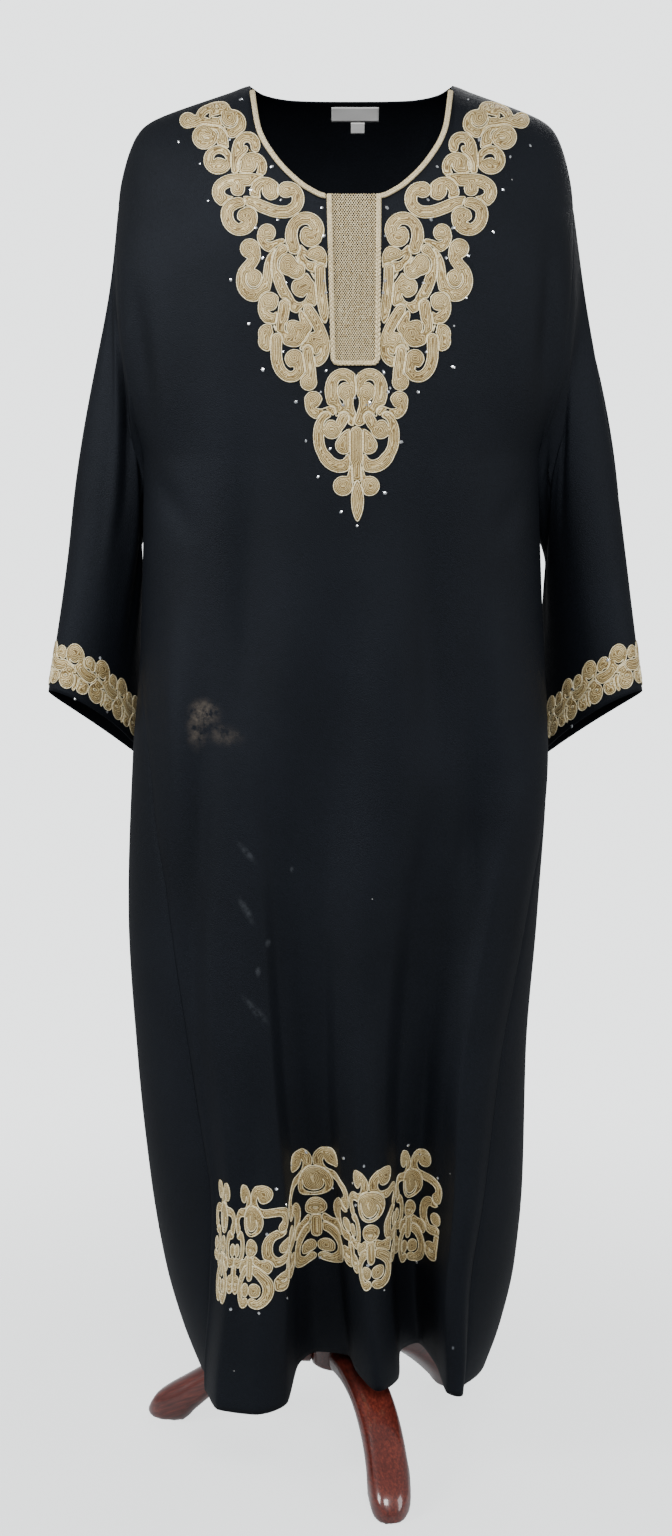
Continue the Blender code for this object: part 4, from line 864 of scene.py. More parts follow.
# %% The medallion's chart
MEDALLION_MIRROR = 356.3
MEDALLION = (
    (("band", 12, ((351.5, 379), (344, 374.4), (335.6, 377.8), (331.5, 387), (332, 397), (336, 407),
                   (343, 414.5), (351, 418.5))),
     ("band", 8, ((351.5, 379), (352.3, 386), (350, 392))), ("ball", 9.3, ((346.7, 391.5),)),
     ("band", 9, ((348.5, 398), (348.6, 406), (351, 414), (354, 422))),
     ("slit", 3, ((337.4, 388), (339.6, 382.3), (344, 380.6), (349, 384.3)))),
    (("ball", 8.7, ((313.4, 400),)), ("band", 10, ((310, 406), (314, 412.7), (322, 414.2), (331, 411))),
     ("slit", 2.2, ((322, 399.5), (320.8, 404.3), (318, 407.5), (315, 407.3)))),
    (("band", 10, ((326, 416.5), (320, 425.5), (318.6, 438), (321, 450), (327.5, 460))),
     ("band", 12, ((325, 457), (330.5, 463), (338, 466.3), (346, 465), (352, 458), (354.5, 448))),
     ("ball", 9.4, ((332, 429.6),)), ("band", 10, ((334, 429), (340, 424.5), (344, 417))),
     ("slit", 2.6, ((323.8, 428), (325.4, 421.7), (330, 418.3), (334, 419.6), (337, 423.5)))),
    (("band", 9, ((343, 439), (349, 433.7), (356.3, 431.7))), ("ball", 8.7, ((344, 445.5),))),
    (("ball", 9.8, ((343, 486),)), ("band", 10, ((349.5, 483.5), (352.7, 477), (355, 468)))),
)
MEDALLION_MIDDLE = (
    (("band", 12, ((356.3, 432), (356.3, 446), (356.3, 460))),
     ("band", 8, ((356.3, 455), (356.5, 466), (357, 482)))),
    (("leaf", 12, ((357.3, 480), (357.5, 500), (357.5, 522))),),
)
print("medallion scrolls:", 2 * len(MEDALLION) + len(MEDALLION_MIDDLE))

# %% [markdown]
# The hem and the cuffs repeat one small chart each, in millimetres across and above the cloth's
# edge. A repeat's right half mirrors its left half about the ring in its middle.

# %% The hem's and the cuffs' chart
HEM_HALF = (
    # lower ball and the band that comes down to it
    (("ball", 10.5, ((37, 143),)), ("band", 8, ((42.5, 170), (44, 158), (42, 146))),
     ("slit", 2.4, ((33, 145.5), (37, 142.5), (41, 144.5)))),
    # curl that ends the lower side, open round its inner ball
    (("band", 9.5, ((36, 199), (26, 197.5), (21, 189), (22, 176), (30, 167), (42, 169))),
     ("ball", 7.2, ((39, 181.5),))),
    # top curl, its stalk, and the arm that ends in a knob
    (("ball", 10, ((17.5, 245),)), ("ball", 6, ((37.5, 205),)),
     ("band", 8.6, ((11, 250), (5.4, 243), (5.2, 234), (9.5, 226.5), (18, 224), (27, 224), (36, 221.5),
                    (40.5, 215), (39, 206))),
     ("slit", 2.6, ((10.6, 243), (11.4, 237), (16, 233.8), (21, 234)))),
    (("ball", 8.5, ((17.5, 163.5),)), ("band", 8, ((3, 174), (9, 170), (15, 165)))),
    # bottom curl
    (("band", 9.5, ((3, 162), (13, 157), (21.5, 145), (21, 131), (12.5, 122.5), (5, 125))),
     ("ball", 7.8, ((8.0, 138),)), ("slit", 3.0, ((11, 151), (16, 142), (15.4, 133), (11, 128)))),
)
HEM_MIDDLE = (
    (("band", 9, ((0, 176), (0, 165), (0, 152))),),
    (("ball", 17, ((0, 214.5),)),
     ("slit", 3.0, ((-11.4, 220), (-10.4, 209.5), (-3.5, 202), (5, 203), (9.6, 210), (7.4, 217.5)))),
    (("ball", 10, ((0, 184.5),)), ("slit", 2.6, ((-3, 183.6), (0, 181), (3, 183.6)))),
)
CUFF_UNIT = (
    # small upper disc, small lower disc, the leaf between the lower discs, and the two large discs
    (("ball", 7.6, ((18, 37),)), ("slit", 2.4, ((15, 32.4), (20, 33)))),
    (("ball", 8.2, ((13, 15.5),)), ("band", 9, ((13, 18), (18, 25), (26, 27))),
     ("slit", 2.4, ((9.6, 16), (14, 17.4)))),
    (("leaf", 7.6, ((4.5, 26), (4.5, 16), (4.5, 6.5))),),
    (("ball", 9.2, ((-5, 15.5),)), ("band", 8.5, ((-5, 21), (-2, 27), (6, 28))),
     ("slit", 2.4, ((-9.4, 17.6), (-3.8, 19)))),
    (("ball", 10.4, ((0, 39),)), ("band", 10, ((6, 32), (11, 27.5), (18, 26), (27, 27))),
     ("slit", 2.8, ((-6.2, 34.6), (-2.4, 31), (3, 32), (5.4, 37)))),
)
print("hem scrolls in a repeat:", 2 * len(HEM_HALF) + len(HEM_MIDDLE))

# %% [markdown]
# A stroke becomes an outline: a smooth line runs through the few points of a band, and its edges
# are stepped off to both sides. A slit swells in its middle and ends in points.

# %% Outlines of strokes
CHART_STEP = 2.0                     # space between an outline's points


def smooth_line(points, step):
    """Even points on a smooth line that passes through all the given ones."""
    given = np.array(points, float)
    if len(given) < 3:
        given = np.array([given[0], (given[0] + given[-1]) / 2, given[-1]])
    ends = np.vstack([2 * given[0] - given[1], given, 2 * given[-1] - given[-2]])
    runs = []
    for a, b, c, d in zip(ends, ends[1:], ends[2:], ends[3:]):
        t = np.linspace(0, 1, max(2, int(np.hypot(*(c - b)) / step) + 1), endpoint=False)[:, None]
        runs.append(0.5 * (2 * b + (c - a) * t + (2 * a - 5 * b + 4 * c - d) * t**2
                           + (3 * b - a - 3 * c + d) * t**3))
    return np.vstack(runs + [given[-1:]])


def outline_of(kind, size, points, grow=0.0):
    if kind == "ball":
        (x, y), radius = points[0], size + grow
        turn = np.linspace(0, 2 * math.pi, max(10, int(2 * math.pi * radius / CHART_STEP)), endpoint=False)
        return np.stack([x + radius * np.cos(turn), y + radius * np.sin(turn)], -1)
    line = smooth_line(points, CHART_STEP)
    ahead = unit(np.gradient(line, axis=0))
    aside = np.stack([-ahead[:, 1], ahead[:, 0]], -1)
    share = np.linspace(0, 1, len(line))
    if kind == "band":
        half = np.full(len(line), size / 2 + grow)
        cap = np.linspace(0, math.pi, 7)[1:-1, None]
        far = line[-1] + half[-1] * (np.cos(cap) * aside[-1] + np.sin(cap) * ahead[-1])
        near = line[0] + half[0] * (-np.cos(cap) * aside[0] - np.sin(cap) * ahead[0])
        return np.vstack([line + aside * half[:, None], far, (line - aside * half[:, None])[::-1], near])
    half = np.maximum(size / 2 * np.sin(math.pi * share) ** 0.7, 0.02) + grow
    return np.vstack([line + aside * half[:, None], (line - aside * half[:, None])[::-1]])


def mirrored(scrolls, axis):
    return tuple(tuple((kind, size, tuple((2 * axis - x, y) for x, y in points))
                       for kind, size, points in scroll) for scroll in scrolls)


# %% [markdown]
# The strokes of a scroll overlap, and the maker sees one joined shape. A flat triangulation that
# respects all the outlines, with a net of points inside, gives small triangles, and those under a
# stroke and outside every slit are kept. Where a later scroll lies over an earlier one, the earlier
# one stops a cord's width before it.

# %% Joining the strokes
NET_STEP = 2.8                       # space between the points inside a scroll
CORD_ROOM = 1.1                      # bare cloth between two scrolls that touch


def winding(polygon, places):
    """How often an outline goes round each place."""
    start, end = polygon, np.roll(polygon, -1, axis=0)
    x, y = places[:, 0:1], places[:, 1:2]
    up = (start[:, 1] <= y) & (end[:, 1] > y)
    down = (start[:, 1] > y) & (end[:, 1] <= y)
    rise = np.where(end[:, 1] == start[:, 1], 1.0, end[:, 1] - start[:, 1])
    left = x < (end[:, 0] - start[:, 0]) * (y - start[:, 1]) / rise + start[:, 0]
    return (left & up).sum(axis=1) - (left & down).sum(axis=1)


def under(polygons, places):
    hit = np.zeros(len(places), bool)
    for polygon in polygons:
        hit |= winding(polygon, places) != 0
    return hit


def near_box(polygon, low, high):
    return (polygon.min(axis=0) < high).all() and (polygon.max(axis=0) > low).all()


def joined(scroll, later):
    """Points and triangles of one scroll, and the edges round it."""
    solid = [outline_of(*stroke) for stroke in scroll if stroke[0] != "slit"]
    low = np.min([p.min(axis=0) for p in solid], axis=0)
    high = np.max([p.max(axis=0) for p in solid], axis=0)
    open_parts = [outline_of(*stroke) for stroke in scroll if stroke[0] == "slit"]
    over = [outline_of(*stroke, CORD_ROOM) for other in later for stroke in other if stroke[0] != "slit"]
    open_parts += [polygon for polygon in over if near_box(polygon, low, high)]
    verts, edges = [], []
    for polygon in solid + open_parts:
        start, size = len(verts), len(polygon)
        verts += [Vector(p) for p in polygon]
        edges += [(start + k, start + (k + 1) % size) for k in range(size)]
    x, y = np.meshgrid(np.arange(low[0], high[0], NET_STEP), np.arange(low[1], high[1], NET_STEP))
    net = np.stack([x.ravel(), y.ravel()], -1)
    net = net[under(solid, net) & ~under(open_parts, net)]
    verts += [Vector(p) for p in net]
    flat, _, faces, _, _, _ = delaunay_2d_cdt(verts, edges, [], 0, 1e-3)
    flat = np.array([tuple(p) for p in flat])
    faces = np.array([face for face in faces])
    middles = flat[faces].mean(axis=1)
    faces = faces[under(solid, middles) & ~under(open_parts, middles)]
    count = {}
    for face in faces.tolist():
        for a, b in zip(face, face[1:] + face[:1]):
            count[min(a, b), max(a, b)] = count.get((min(a, b), max(a, b)), 0) + 1
    return flat, faces, [edge for edge, uses in count.items() if uses == 1]


def loops_of(edges):
    """The edges round a shape as closed runs of point numbers."""
    ways = {}
    for a, b in edges:
        ways.setdefault(a, []).append(b)
        ways.setdefault(b, []).append(a)
    loops = []
    while ways:
        start = here = next(iter(ways))
        run = []
        while ways.get(here):
            run.append(here)
            there = ways[here].pop()
            ways[there].remove(here)
            if not ways[here]:
                del ways[here]
            if there in ways and not ways[there]:
                del ways[there]
            here = there
            if here == start:
                break
        loops.append(run)
        ways = {key: value for key, value in ways.items() if value}
    return [run for run in loops if len(run) > 3]


def even_loop(points, step):
    """A closed run of points, softened and set at even spacing."""
    for _ in range(2):
        points = (np.roll(points, 1, axis=0) + 2 * points + np.roll(points, -1, axis=0)) / 4
    closed = np.vstack([points, points[:1]])
    along = np.concatenate(([0.0], np.cumsum(np.hypot(*np.diff(closed, axis=0).T))))
    count = int(along[-1] / step)
    if count < 5:
        return None
    reads = np.linspace(0, along[-1], count, endpoint=False)
    return np.stack([np.interp(reads, along, closed[:, 0]), np.interp(reads, along, closed[:, 1])], -1)


def rim_distance(flat, edges, used):
    """Distance from each used point to the shape's edge."""
    ends = flat[np.array(edges)]
    start, along = ends[:, 0], ends[:, 1] - ends[:, 0]
    length = np.maximum((along**2).sum(axis=1), 1e-9)
    away = flat[used][:, None] - start[None]
    t = np.clip((away * along[None]).sum(axis=2) / length, 0, 1)
    return np.hypot(*np.moveaxis(away - t[..., None] * along[None], -1, 0)).min(axis=1)


# %% [markdown]
# The filling rises from its edge to a low crown over the padding threads under it, and it keeps its
# distance from the edge as an attribute, because the satin stitches lie in rows that follow the
# edge. A closed cord, a curve with a round section, runs along every edge, slits included.

# %% Raised filling and its cord
CROWN = 0.0013                       # height of the filling over the cloth
CROWN_RUN = 3.4                      # distance from the edge at which it is full
FILL_SINK = 0.0006                   # its rim goes down into the cloth
CORD_RADIUS = 0.00062
CORD_STEP = 1.7


def curve_mesh(name, runs, radius, cyclic=True, sides=1):
    """Round cords along runs of points, as one mesh."""
    curve = bpy.data.curves.new(name, "CURVE")
    curve.dimensions = "3D"
    curve.bevel_depth = radius
    curve.bevel_resolution = sides
    curve.use_fill_caps = not cyclic
    for run in runs:
        spline = curve.splines.new("POLY")
        spline.points.add(len(run) - 1)
        spline.points.foreach_set("co", np.hstack([run, np.ones((len(run), 1))]).ravel())
        spline.use_cyclic_u = cyclic
    holder = in_scene(name, curve)
    mesh = bpy.data.meshes.new_from_object(holder.evaluated_get(bpy.context.evaluated_depsgraph_get()))
    bpy.data.objects.remove(holder)
    return mesh


def add_filling(bm, rim, scroll, later, place):
    """Add one scroll's filling to a mesh, and give back the runs of its cords."""
    flat, faces, edges = joined(scroll, later)
    if not len(faces):
        return []
    used = np.unique(faces)
    deep = rim_distance(flat, edges, used)
    points, normals = place(flat[used])
    rise = CROWN * np.sin(np.clip(deep / CROWN_RUN, 0, 1) * math.pi / 2)
    tops = points + normals * rise[:, None]
    made = {}
    for number, top, distance in zip(used.tolist(), tops, deep):
        made[number] = bm.verts.new(top)
        made[number][rim] = distance
    for face in faces.tolist():
        bm.faces.new([made[number] for number in face])
    sunk = dict(zip(used.tolist(), points - normals * FILL_SINK))
    border = [bm.edges.get((made[a], made[b])) for a, b in edges]
    skirt = bmesh.ops.extrude_edge_only(bm, edges=border)["geom"]
    back = {tuple(made[number].co): point for number, point in sunk.items()}
    for item in skirt:
        if isinstance(item, bmesh.types.BMVert):
            item.co = Vector(back[tuple(item.co)])
    runs = []
    for loop in loops_of(edges):
        line = even_loop(flat[loop], CORD_STEP)
        if line is not None:
            points, normals = place(line)
            runs.append(points + normals * CORD_RADIUS * 0.8)
    return runs


def embroidered(name, scrolls, place, nodes):
    """All the scrolls of one motif as one piece of filling and cords."""
    bm = bmesh.new()
    rim = bm.verts.layers.float.new("rim")
    runs = []
    for k, scroll in enumerate(scrolls):
        runs += add_filling(bm, rim, scroll, scrolls[k + 1:], place)
    bmesh.ops.recalc_face_normals(bm, faces=bm.faces[:])
    filled = len(bm.faces)
    cords = curve_mesh(name + "_cords", runs, CORD_RADIUS)
    bm.from_mesh(cords)
    bpy.data.meshes.remove(cords)
    bm.faces.ensure_lookup_table()
    for face in bm.faces[filled:]:
        face.material_index = 1
    mesh = mesh_from(bm, name)
    for finish in (satin_filling, gold_cord):
        mesh.materials.append(finish)
    mesh.transform(Matrix.Translation(AXIS))
    mesh.shade_smooth()
    piece = in_scene(name, mesh)
    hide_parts(*nodes)
    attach(piece, "root")
    print(name, len(mesh.polygons), "faces,", len(runs), "cords")


# %% [markdown]
# The filling is viscose satin stitch in beige gold: rows of stitches 1.5 mm wide follow the edge,
# the light thread on top and a painted shade between two rows, with the grain of single threads across
# it. Broad patches of painted sheen, lighter and darker, stand for the light that the threads catch
# by the way they lie. Viscose has a soft gloss, so it is a little metallic and not rough. The cord is
# a paler gold thread with a painted highlight in its colour, so that the eye reads it as a raised
# line round every scroll.

# %% Satin filling and cord
ROW_MM = 1.5
THREAD_MM = 0.9
SHEEN_MM = 22.22                     # size of the patches of painted sheen, where the threads lie alike and catch the light alike
PLY_MM = 1.2
SATIN_STOPS = ((0.30, "#4f3b1c"), (0.44, "#957a46"), (0.57, "#c4ac74"), (0.72, "#f6e9bc"))

satin_filling, tree, shader, place = new_finish("viscose_satin_stitch")
rim_out = add(tree, "ShaderNodeAttribute", attribute_name="rim").outputs["Fac"]
# Stitch rows from the distance to the edge: light on each row's top and painted shade between two rows
wave = maths(tree, "SINE", maths(tree, "MULTIPLY", rim_out, 2 * math.pi / ROW_MM))
rows = maths(tree, "MULTIPLY_ADD", wave, 0.5, 0.5)
stitches = between(tree, 0.62, rows, noise(tree, place, THREAD_MM, rough=0.7))
# Painted sheen: broad noise patches make the filling's colour lighter and darker, for the light the threads
# catch
stitches_with_painted_sheen = between(tree, 0.22, stitches, noise(tree, place, SHEEN_MM))
tree.links.new(ramp(tree, stitches_with_painted_sheen, SATIN_STOPS), shader.inputs["Base Color"])
bumped(tree, shader, stitches, 0.7, 0.6)
set_values(shader, Roughness=0.48, Metallic=0.22, Sheen_Weight=0.1)

# The cord's ramp is a paler gold thread with a painted highlight in it, so that the cord reads as raised
gold_cord = grained("twisted_gold_cord", PLY_MM, ((0.35, "#d0b87c"), (0.60, "#fff6d2")), detail=1.0,
                    Roughness=0.42, Metallic=0.25)
print("finishes:", satin_filling.name, gold_cord.name)

# %% [markdown]
# A place of the yoke's chart is found on the cloth by the ray from the camera through it. At the
# shoulder's edge the ray may pass over the cloth, and then the place slides down the picture until
# it meets the cloth, as the leaf of the real yoke wraps the shoulder.

# %% Placing the yoke
def tree_of(piece):
    bm = bmesh.new()
    bm.from_mesh(piece.data)
    found = BVHTree.FromBMesh(bm)
    bm.free()
    return found


front_tree = tree_of(panels["front"])
SLIDE_STEPS = 14


def meet(x, y, tree):
    for step in range(SLIDE_STEPS):
        hit, normal, _, _ = tree.ray_cast(camera.location, picture_ray(x, y + step))
        if hit is not None:
            return hit, normal if normal.y < 0 else -normal
    raise ValueError(f"no cloth under picture place {x:.0f}, {y:.0f}")


def on_front(places):
    found = [meet(x, y, front_tree) for x, y in places]
    hits, normals = (np.array([tuple(vector) for vector in vectors]) for vectors in zip(*found))
    return hits - AXIS, normals


embroidered("yoke_scrolls_left", YOKE, on_front, ("yoke_scrolls_left_1", "yoke_scrolls_left_2"))
embroidered("yoke_scrolls_right", mirrored(YOKE, YOKE_MIRROR), on_front,
            ("yoke_scrolls_right_1", "yoke_scrolls_right_2"))
embroidered("yoke_medallion", MEDALLION + mirrored(MEDALLION, MEDALLION_MIRROR) + MEDALLION_MIDDLE,
            on_front, ("yoke_medallion",))

# %% [markdown]
# The hem's band follows the folds, so its places are measured along the cloth: millimetres round
# from the centre front, and millimetres above the hem, wherever the hem hangs.

# %% Placing the hem's band
HEM_REPEAT = 92.0
HEM_AXES = (
    # place in repeats, millimetres along the cloth: the folds close some half repeats and open others
    (-1.50, -200),
    (-1.00, -184),
    (-0.50, -168),
    (0.00, -151),
    (0.50, -100),
    (1.00, -44),
    (1.50, 10),
    (2.00, 33),
    (2.50, 92),
    (3.00, 114),
    (3.50, 160),
)
HEM_REPEATS = (-1, 0, 1, 2, 3)
HEM_ENDS = (-197.0, 158.0)           # where the band stops, in millimetres along the cloth
BAND_MIDDLE = 0.175


def skirt_row(share, height):
    across = np.abs(np.sin(np.asarray(share) * math.pi / 2)) * TIP_HALF
    start = read(RIDGE, across, 1) - ROUNDING
    hem = hem_height(FRONT_FOLDS, share)
    part = np.clip((start - height) / (start - hem), 0.0, 1.0) ** (1 / ROW_GROWTH)
    return (SHOULDER_ROWS + SKIRT_ROWS * part) / ROWS


band_shares = np.linspace(-1, 1, 801)
band_rows = skirt_row(band_shares, hem_height(FRONT_FOLDS, band_shares) + BAND_MIDDLE)
band_line = panel(1, band_shares, band_rows)
band_along = np.concatenate(([0.0], np.cumsum(np.linalg.norm(np.diff(band_line, axis=0), axis=1))))
band_along -= np.interp(0.0, band_shares, band_along)


def on_hem(places):
    along = read(HEM_AXES, places[:, 0] / HEM_REPEAT, 1)
    share = np.interp(along / MM, band_along, band_shares)
    row = skirt_row(share, hem_height(FRONT_FOLDS, share) + places[:, 1] / MM)
    return cloth_point(1, share, row), panel_normal(1, share, row, cloth_point)


def shifted(scrolls, across):
    return tuple(tuple((kind, size, tuple((x + across, y) for x, y in points))
                       for kind, size, points in scroll) for scroll in scrolls)


def on_band(scroll):
    """Whether a scroll's middle lies between the band's two ends."""
    middle = np.mean([x for _, _, points in scroll for x, _ in points])
    return HEM_ENDS[0] < float(read(HEM_AXES, middle / HEM_REPEAT, 1)) < HEM_ENDS[1]


unit_scrolls = HEM_HALF + mirrored(HEM_HALF, 0) + HEM_MIDDLE
band_scrolls = tuple(s for k in HEM_REPEATS for s in shifted(unit_scrolls, k * HEM_REPEAT) if on_band(s))
embroidered("hem_scrolls", band_scrolls, on_hem, [f"hem_scrolls_{k}" for k in (1, 2, 3, 4)])

# %% Placing the cuffs' bands
CUFF_REPEAT = 36.0
CUFF_LINE = 0.93                     # share down the sleeve where the band is measured
CUFF_SLOPE = 0.1                     # share over which the sleeve's length at the cuff is measured

for name, hand in (("cuff_scrolls_left", -1), ("cuff_scrolls_right", 1)):
    turns = np.linspace(0, 1, 801)
    edge = sleeve(hand, turns, np.full_like(turns, CUFF_LINE))
    along = np.concatenate(([0.0], np.cumsum(np.linalg.norm(np.diff(edge, axis=0), axis=1))))
    length = along[-1]
    last = sleeve(hand, turns, turns * 0 + 1.0) - sleeve(hand, turns, turns * 0 + 1.0 - CUFF_SLOPE)
    down = float(np.linalg.norm(last, axis=-1).mean()) / CUFF_SLOPE

    def on_cuff(places):
        turn = np.interp(np.mod(places[:, 0] / MM, length), along, turns)
        share = 1.0 - places[:, 1] / MM / down
        return sleeve_point(hand, turn, share), sleeve_normal(hand, turn, share, sleeve_point)

    repeats = round(length * MM / CUFF_REPEAT)
    centres = (np.arange(repeats) + 0.5) * length * MM / repeats
    band_scrolls = tuple(s for centre in centres for s in shifted(CUFF_UNIT, centre))
    embroidered(name, band_scrolls, on_cuff, (name,))

# %% [markdown]
# The front was worn: a pale brown cloud at the hip, a few chalky streaks under it and some rubbed
# specks. Each is a soft patch round a place on the cloth, broken up by one noise, and all of them
# are laid over the crepe in a finish of the front's own.

# %% Worn front
DUST, CHALK = "#7b7062", "#8d939a"
SMUDGES = (
    # picture x, picture y, half width, half height in metres, lean in degrees, strength, colour
    (205, 712, 0.022, 0.018, 20, 0.55, DUST),
    (197, 728, 0.015, 0.030, 0, 0.35, DUST),
    (222, 735, 0.030, 0.016, 10, 0.22, DUST),
    (247, 853, 0.005, 0.020, -40, 0.13, CHALK),
    (246, 910, 0.006, 0.022, -28, 0.12, CHALK),
    (255, 1010, 0.006, 0.026, -42, 0.12, CHALK),
    (268, 943, 0.004, 0.006, 0, 0.18, CHALK),
    (258, 972, 0.004, 0.008, 0, 0.14, CHALK),
    (292, 870, 0.003, 0.005, 0, 0.20, CHALK),
    (453, 1348, 0.002, 0.003, 0, 0.48, CHALK),
)
SMUDGE_GRAIN_MM = 9.0

worn, tree, shader, place, colour = crepe_base("worn_black_crepe")
colour = lint(tree, place, colour)
break_up = noise(tree, place, SMUDGE_GRAIN_MM, 4.0, 0.65)
broken = add(tree, "ShaderNodeMapRange", {"Value": break_up, "From Min": 0.38, "From Max": 0.66})
for x, y, half_width, half_height, lean, strength, tone in SMUDGES:
    centre, _ = meet(x, y, front_tree)
    local = add(tree, "ShaderNodeMapping", {"Vector": place, "Location": centre,
                                            "Rotation": (0, math.radians(lean), 0),
                                            "Scale": (half_width, 1.0, half_height)}, vector_type="TEXTURE")
    off = add(tree, "ShaderNodeVectorMath", {0: local.outputs["Vector"]}, operation="LENGTH")
    soft = add(tree, "ShaderNodeMapRange", {"Value": off.outputs["Value"], "From Min": 1.0, "From Max": 0.0,
                                            "To Max": strength}, interpolation_type="SMOOTHSTEP")
    amount = maths(tree, "MULTIPLY", soft.outputs["Result"], broken.outputs["Result"])
    colour = laid_over(tree, amount, colour, tone)
tree.links.new(colour, shader.inputs["Base Color"])
panels["front"].data.materials[0] = worn
print("smudges:", len(SMUDGES))

# %% [markdown]
# The neck is edged with a flat three-strand plait. Each strand is a cord that swings from side to
# side and goes over and under once in the same turn, a third of a turn behind its neighbour, which
# gives the row of small bumps that the eye reads as a chain. The bib's border is the same plait.
# Its yarn is spun with a metal thread, so it is the palest gold on the garment.

# %% Plaited braid
STRAND_RADIUS = 0.00125
STRAND_SWING = 0.0017
STRAND_LIFT = 0.0006
PLAIT_TURN = 0.0150                  # length in which a strand comes back to its side
PLAIT_STEP = 0.0011
BRAID_INSET = 0.0034                 # middle of the braid, from the neck's edge
YARN_MM = 0.8                        # the yarn's own twist


def even_run(points, step):
    along = np.concatenate(([0.0], np.cumsum(np.linalg.norm(np.diff(points, axis=0), axis=1))))
    reads = np.linspace(0, along[-1], int(along[-1] / step) + 1)
    return np.stack([np.interp(reads, along, points[:, k]) for k in range(points.shape[1])], -1), reads


def plaited(name, line, normals, finish):
    """Three strands along a line that lies on the cloth."""
    both, along = even_run(np.hstack([line, normals]), PLAIT_STEP)
    line, normals = both[:, :3], unit(both[:, 3:])
    aside = unit(np.cross(np.gradient(line, axis=0), normals))
    runs = []
    for strand in range(3):
        turn = 2 * math.pi * (along / PLAIT_TURN + strand / 3)
        swing = STRAND_SWING * np.sin(turn)
        rise = STRAND_RADIUS + STRAND_LIFT * (1 + np.sin(2 * turn))
        runs.append(line + aside * swing[:, None] + normals * rise[:, None])
    mesh = curve_mesh(name, runs, STRAND_RADIUS, cyclic=False)
    return laid_mesh(name, mesh, finish)


def laid_mesh(name, mesh, finish):
    """A piece from a mesh made round the pole's axis."""
    mesh.name = name
    mesh.transform(Matrix.Translation(AXIS))
    mesh.materials.clear()
    mesh.materials.append(finish)
    mesh.shade_smooth()
    piece = in_scene(name, mesh)
    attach(piece, "root")
    print(name, len(mesh.polygons), "faces")
    return piece


braid_yarn = grained("metal_braid_yarn", YARN_MM, ((0.34, "#a08a5e"), (0.50, "#dccba0"), (0.66, "#f3e8c8")),
                     bump=(0.5, 0.4), rough=0.6, Roughness=0.40, Metallic=0.30)

# %% Neck braid
BIB_SHARE = 0.0735                   # share of the front where the bib's border starts
NECK_SHARE = 0.98 * math.asin(NECK_HALF / TIP_HALF) / (math.pi / 2)     # just short of the shoulder seam
ROW_BELOW = 0.02

for name, hand in (("neck_braid_left", -1), ("neck_braid_right", 1)):
    shares = hand * np.linspace(NECK_SHARE, BIB_SHARE, 90)
    top = cloth_point(1, shares, shares * 0)
    below = cloth_point(1, shares, shares * 0 + ROW_BELOW)
    line = top + unit(below - top) * BRAID_INSET
    piece = plaited(name, line, panel_normal(1, shares, shares * 0 + ROW_BELOW / 2), braid_yarn)
    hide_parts(name)

# %% [markdown]
# The border turns its two lower corners in small rounds, so its line is straight down, round, along
# the bottom, round, and up again, in picture places that the rays put on the cloth.

# %% Bib border
BIB_LEFT, BIB_RIGHT = 329.3, 378.7   # middle of the border, at the top of the bib
BIB_LOW_LEFT, BIB_LOW_RIGHT = 333.2, 377.6
BIB_TOP, BIB_LOW = 195.0, 363.0
BORDER_CORNER = 5.0


def border_line():
    quarter = np.linspace(0, math.pi / 2, 8)
    left = BIB_LOW_LEFT + BORDER_CORNER * (1 - np.cos(quarter))
    low = BIB_LOW - BORDER_CORNER * (1 - np.sin(quarter))
    right = BIB_LOW_RIGHT - BORDER_CORNER * (1 - np.cos(quarter[::-1]))
    corners = np.vstack([np.stack([left, low], -1), np.stack([right, low[::-1]], -1)])
    return np.vstack([[BIB_LEFT, BIB_TOP], corners, [BIB_RIGHT, BIB_TOP]])


border_places, _ = even_run(border_line(), 3.0)
line, normals = on_front(border_places)
border = plaited("bib_border", line, normals, braid_yarn)
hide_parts("bib_border")

# %% [markdown]
# The bib is a knotted net over the black cloth. Its threads run down it in small waves, each the
# mirror image of the next, so that neighbours touch and part by turns and leave rows of lens-shaped
# gaps, every second row shifted by half a gap. The yarn is a dull gold, and the eye sees it pale
# against the black in the gaps.

# %% Net of the bib
NET_ROWS = 46                        # waves from top to bottom
NET_THREADS = 35
NET_WAVE_POINTS = 6
NET_SWING = 0.44                     # share of a thread's spacing that it swings
NET_THREAD = 0.00040
NET_FLOAT = 0.0007                   # height of the threads over the cloth
NET_COLUMNS = 9                      # columns at which the cloth under the net is measured
NET_INSET = 0.04                     # share of the width that lies under the border at each side
NET_PLY_MM = 1.5

steps = np.linspace(0, 1, NET_ROWS * NET_WAVE_POINTS + 1)
left_edge = np.stack([BIB_LEFT + (BIB_LOW_LEFT - BIB_LEFT) * steps,
                      BIB_TOP - 1 + (BIB_LOW - 2 - BIB_TOP) * steps], -1)
right_edge = np.stack([BIB_RIGHT + (BIB_LOW_RIGHT - BIB_RIGHT) * steps, left_edge[:, 1]], -1)
columns = [on_front(left_edge * (1 - part) + right_edge * part)
           for part in np.linspace(NET_INSET, 1 - NET_INSET, NET_COLUMNS)]
net_points = np.array([points for points, _ in columns])
net_normals = np.array([normals for _, normals in columns])
runs = []
for thread in range(NET_THREADS):
    wave = NET_SWING * np.cos(2 * math.pi * NET_ROWS * steps) * (-1) ** thread
    part = np.clip((thread + 0.5 + wave) / NET_THREADS, 0, 1) * (NET_COLUMNS - 1)
    first = np.minimum(part.astype(int), NET_COLUMNS - 2)
    share = (part - first)[:, None]
    row = np.arange(len(steps))
    flat = net_points[first, row] * (1 - share) + net_points[first + 1, row] * share
    up = net_normals[first, row] * (1 - share) + net_normals[first + 1, row] * share
    runs.append(flat + up * NET_FLOAT)
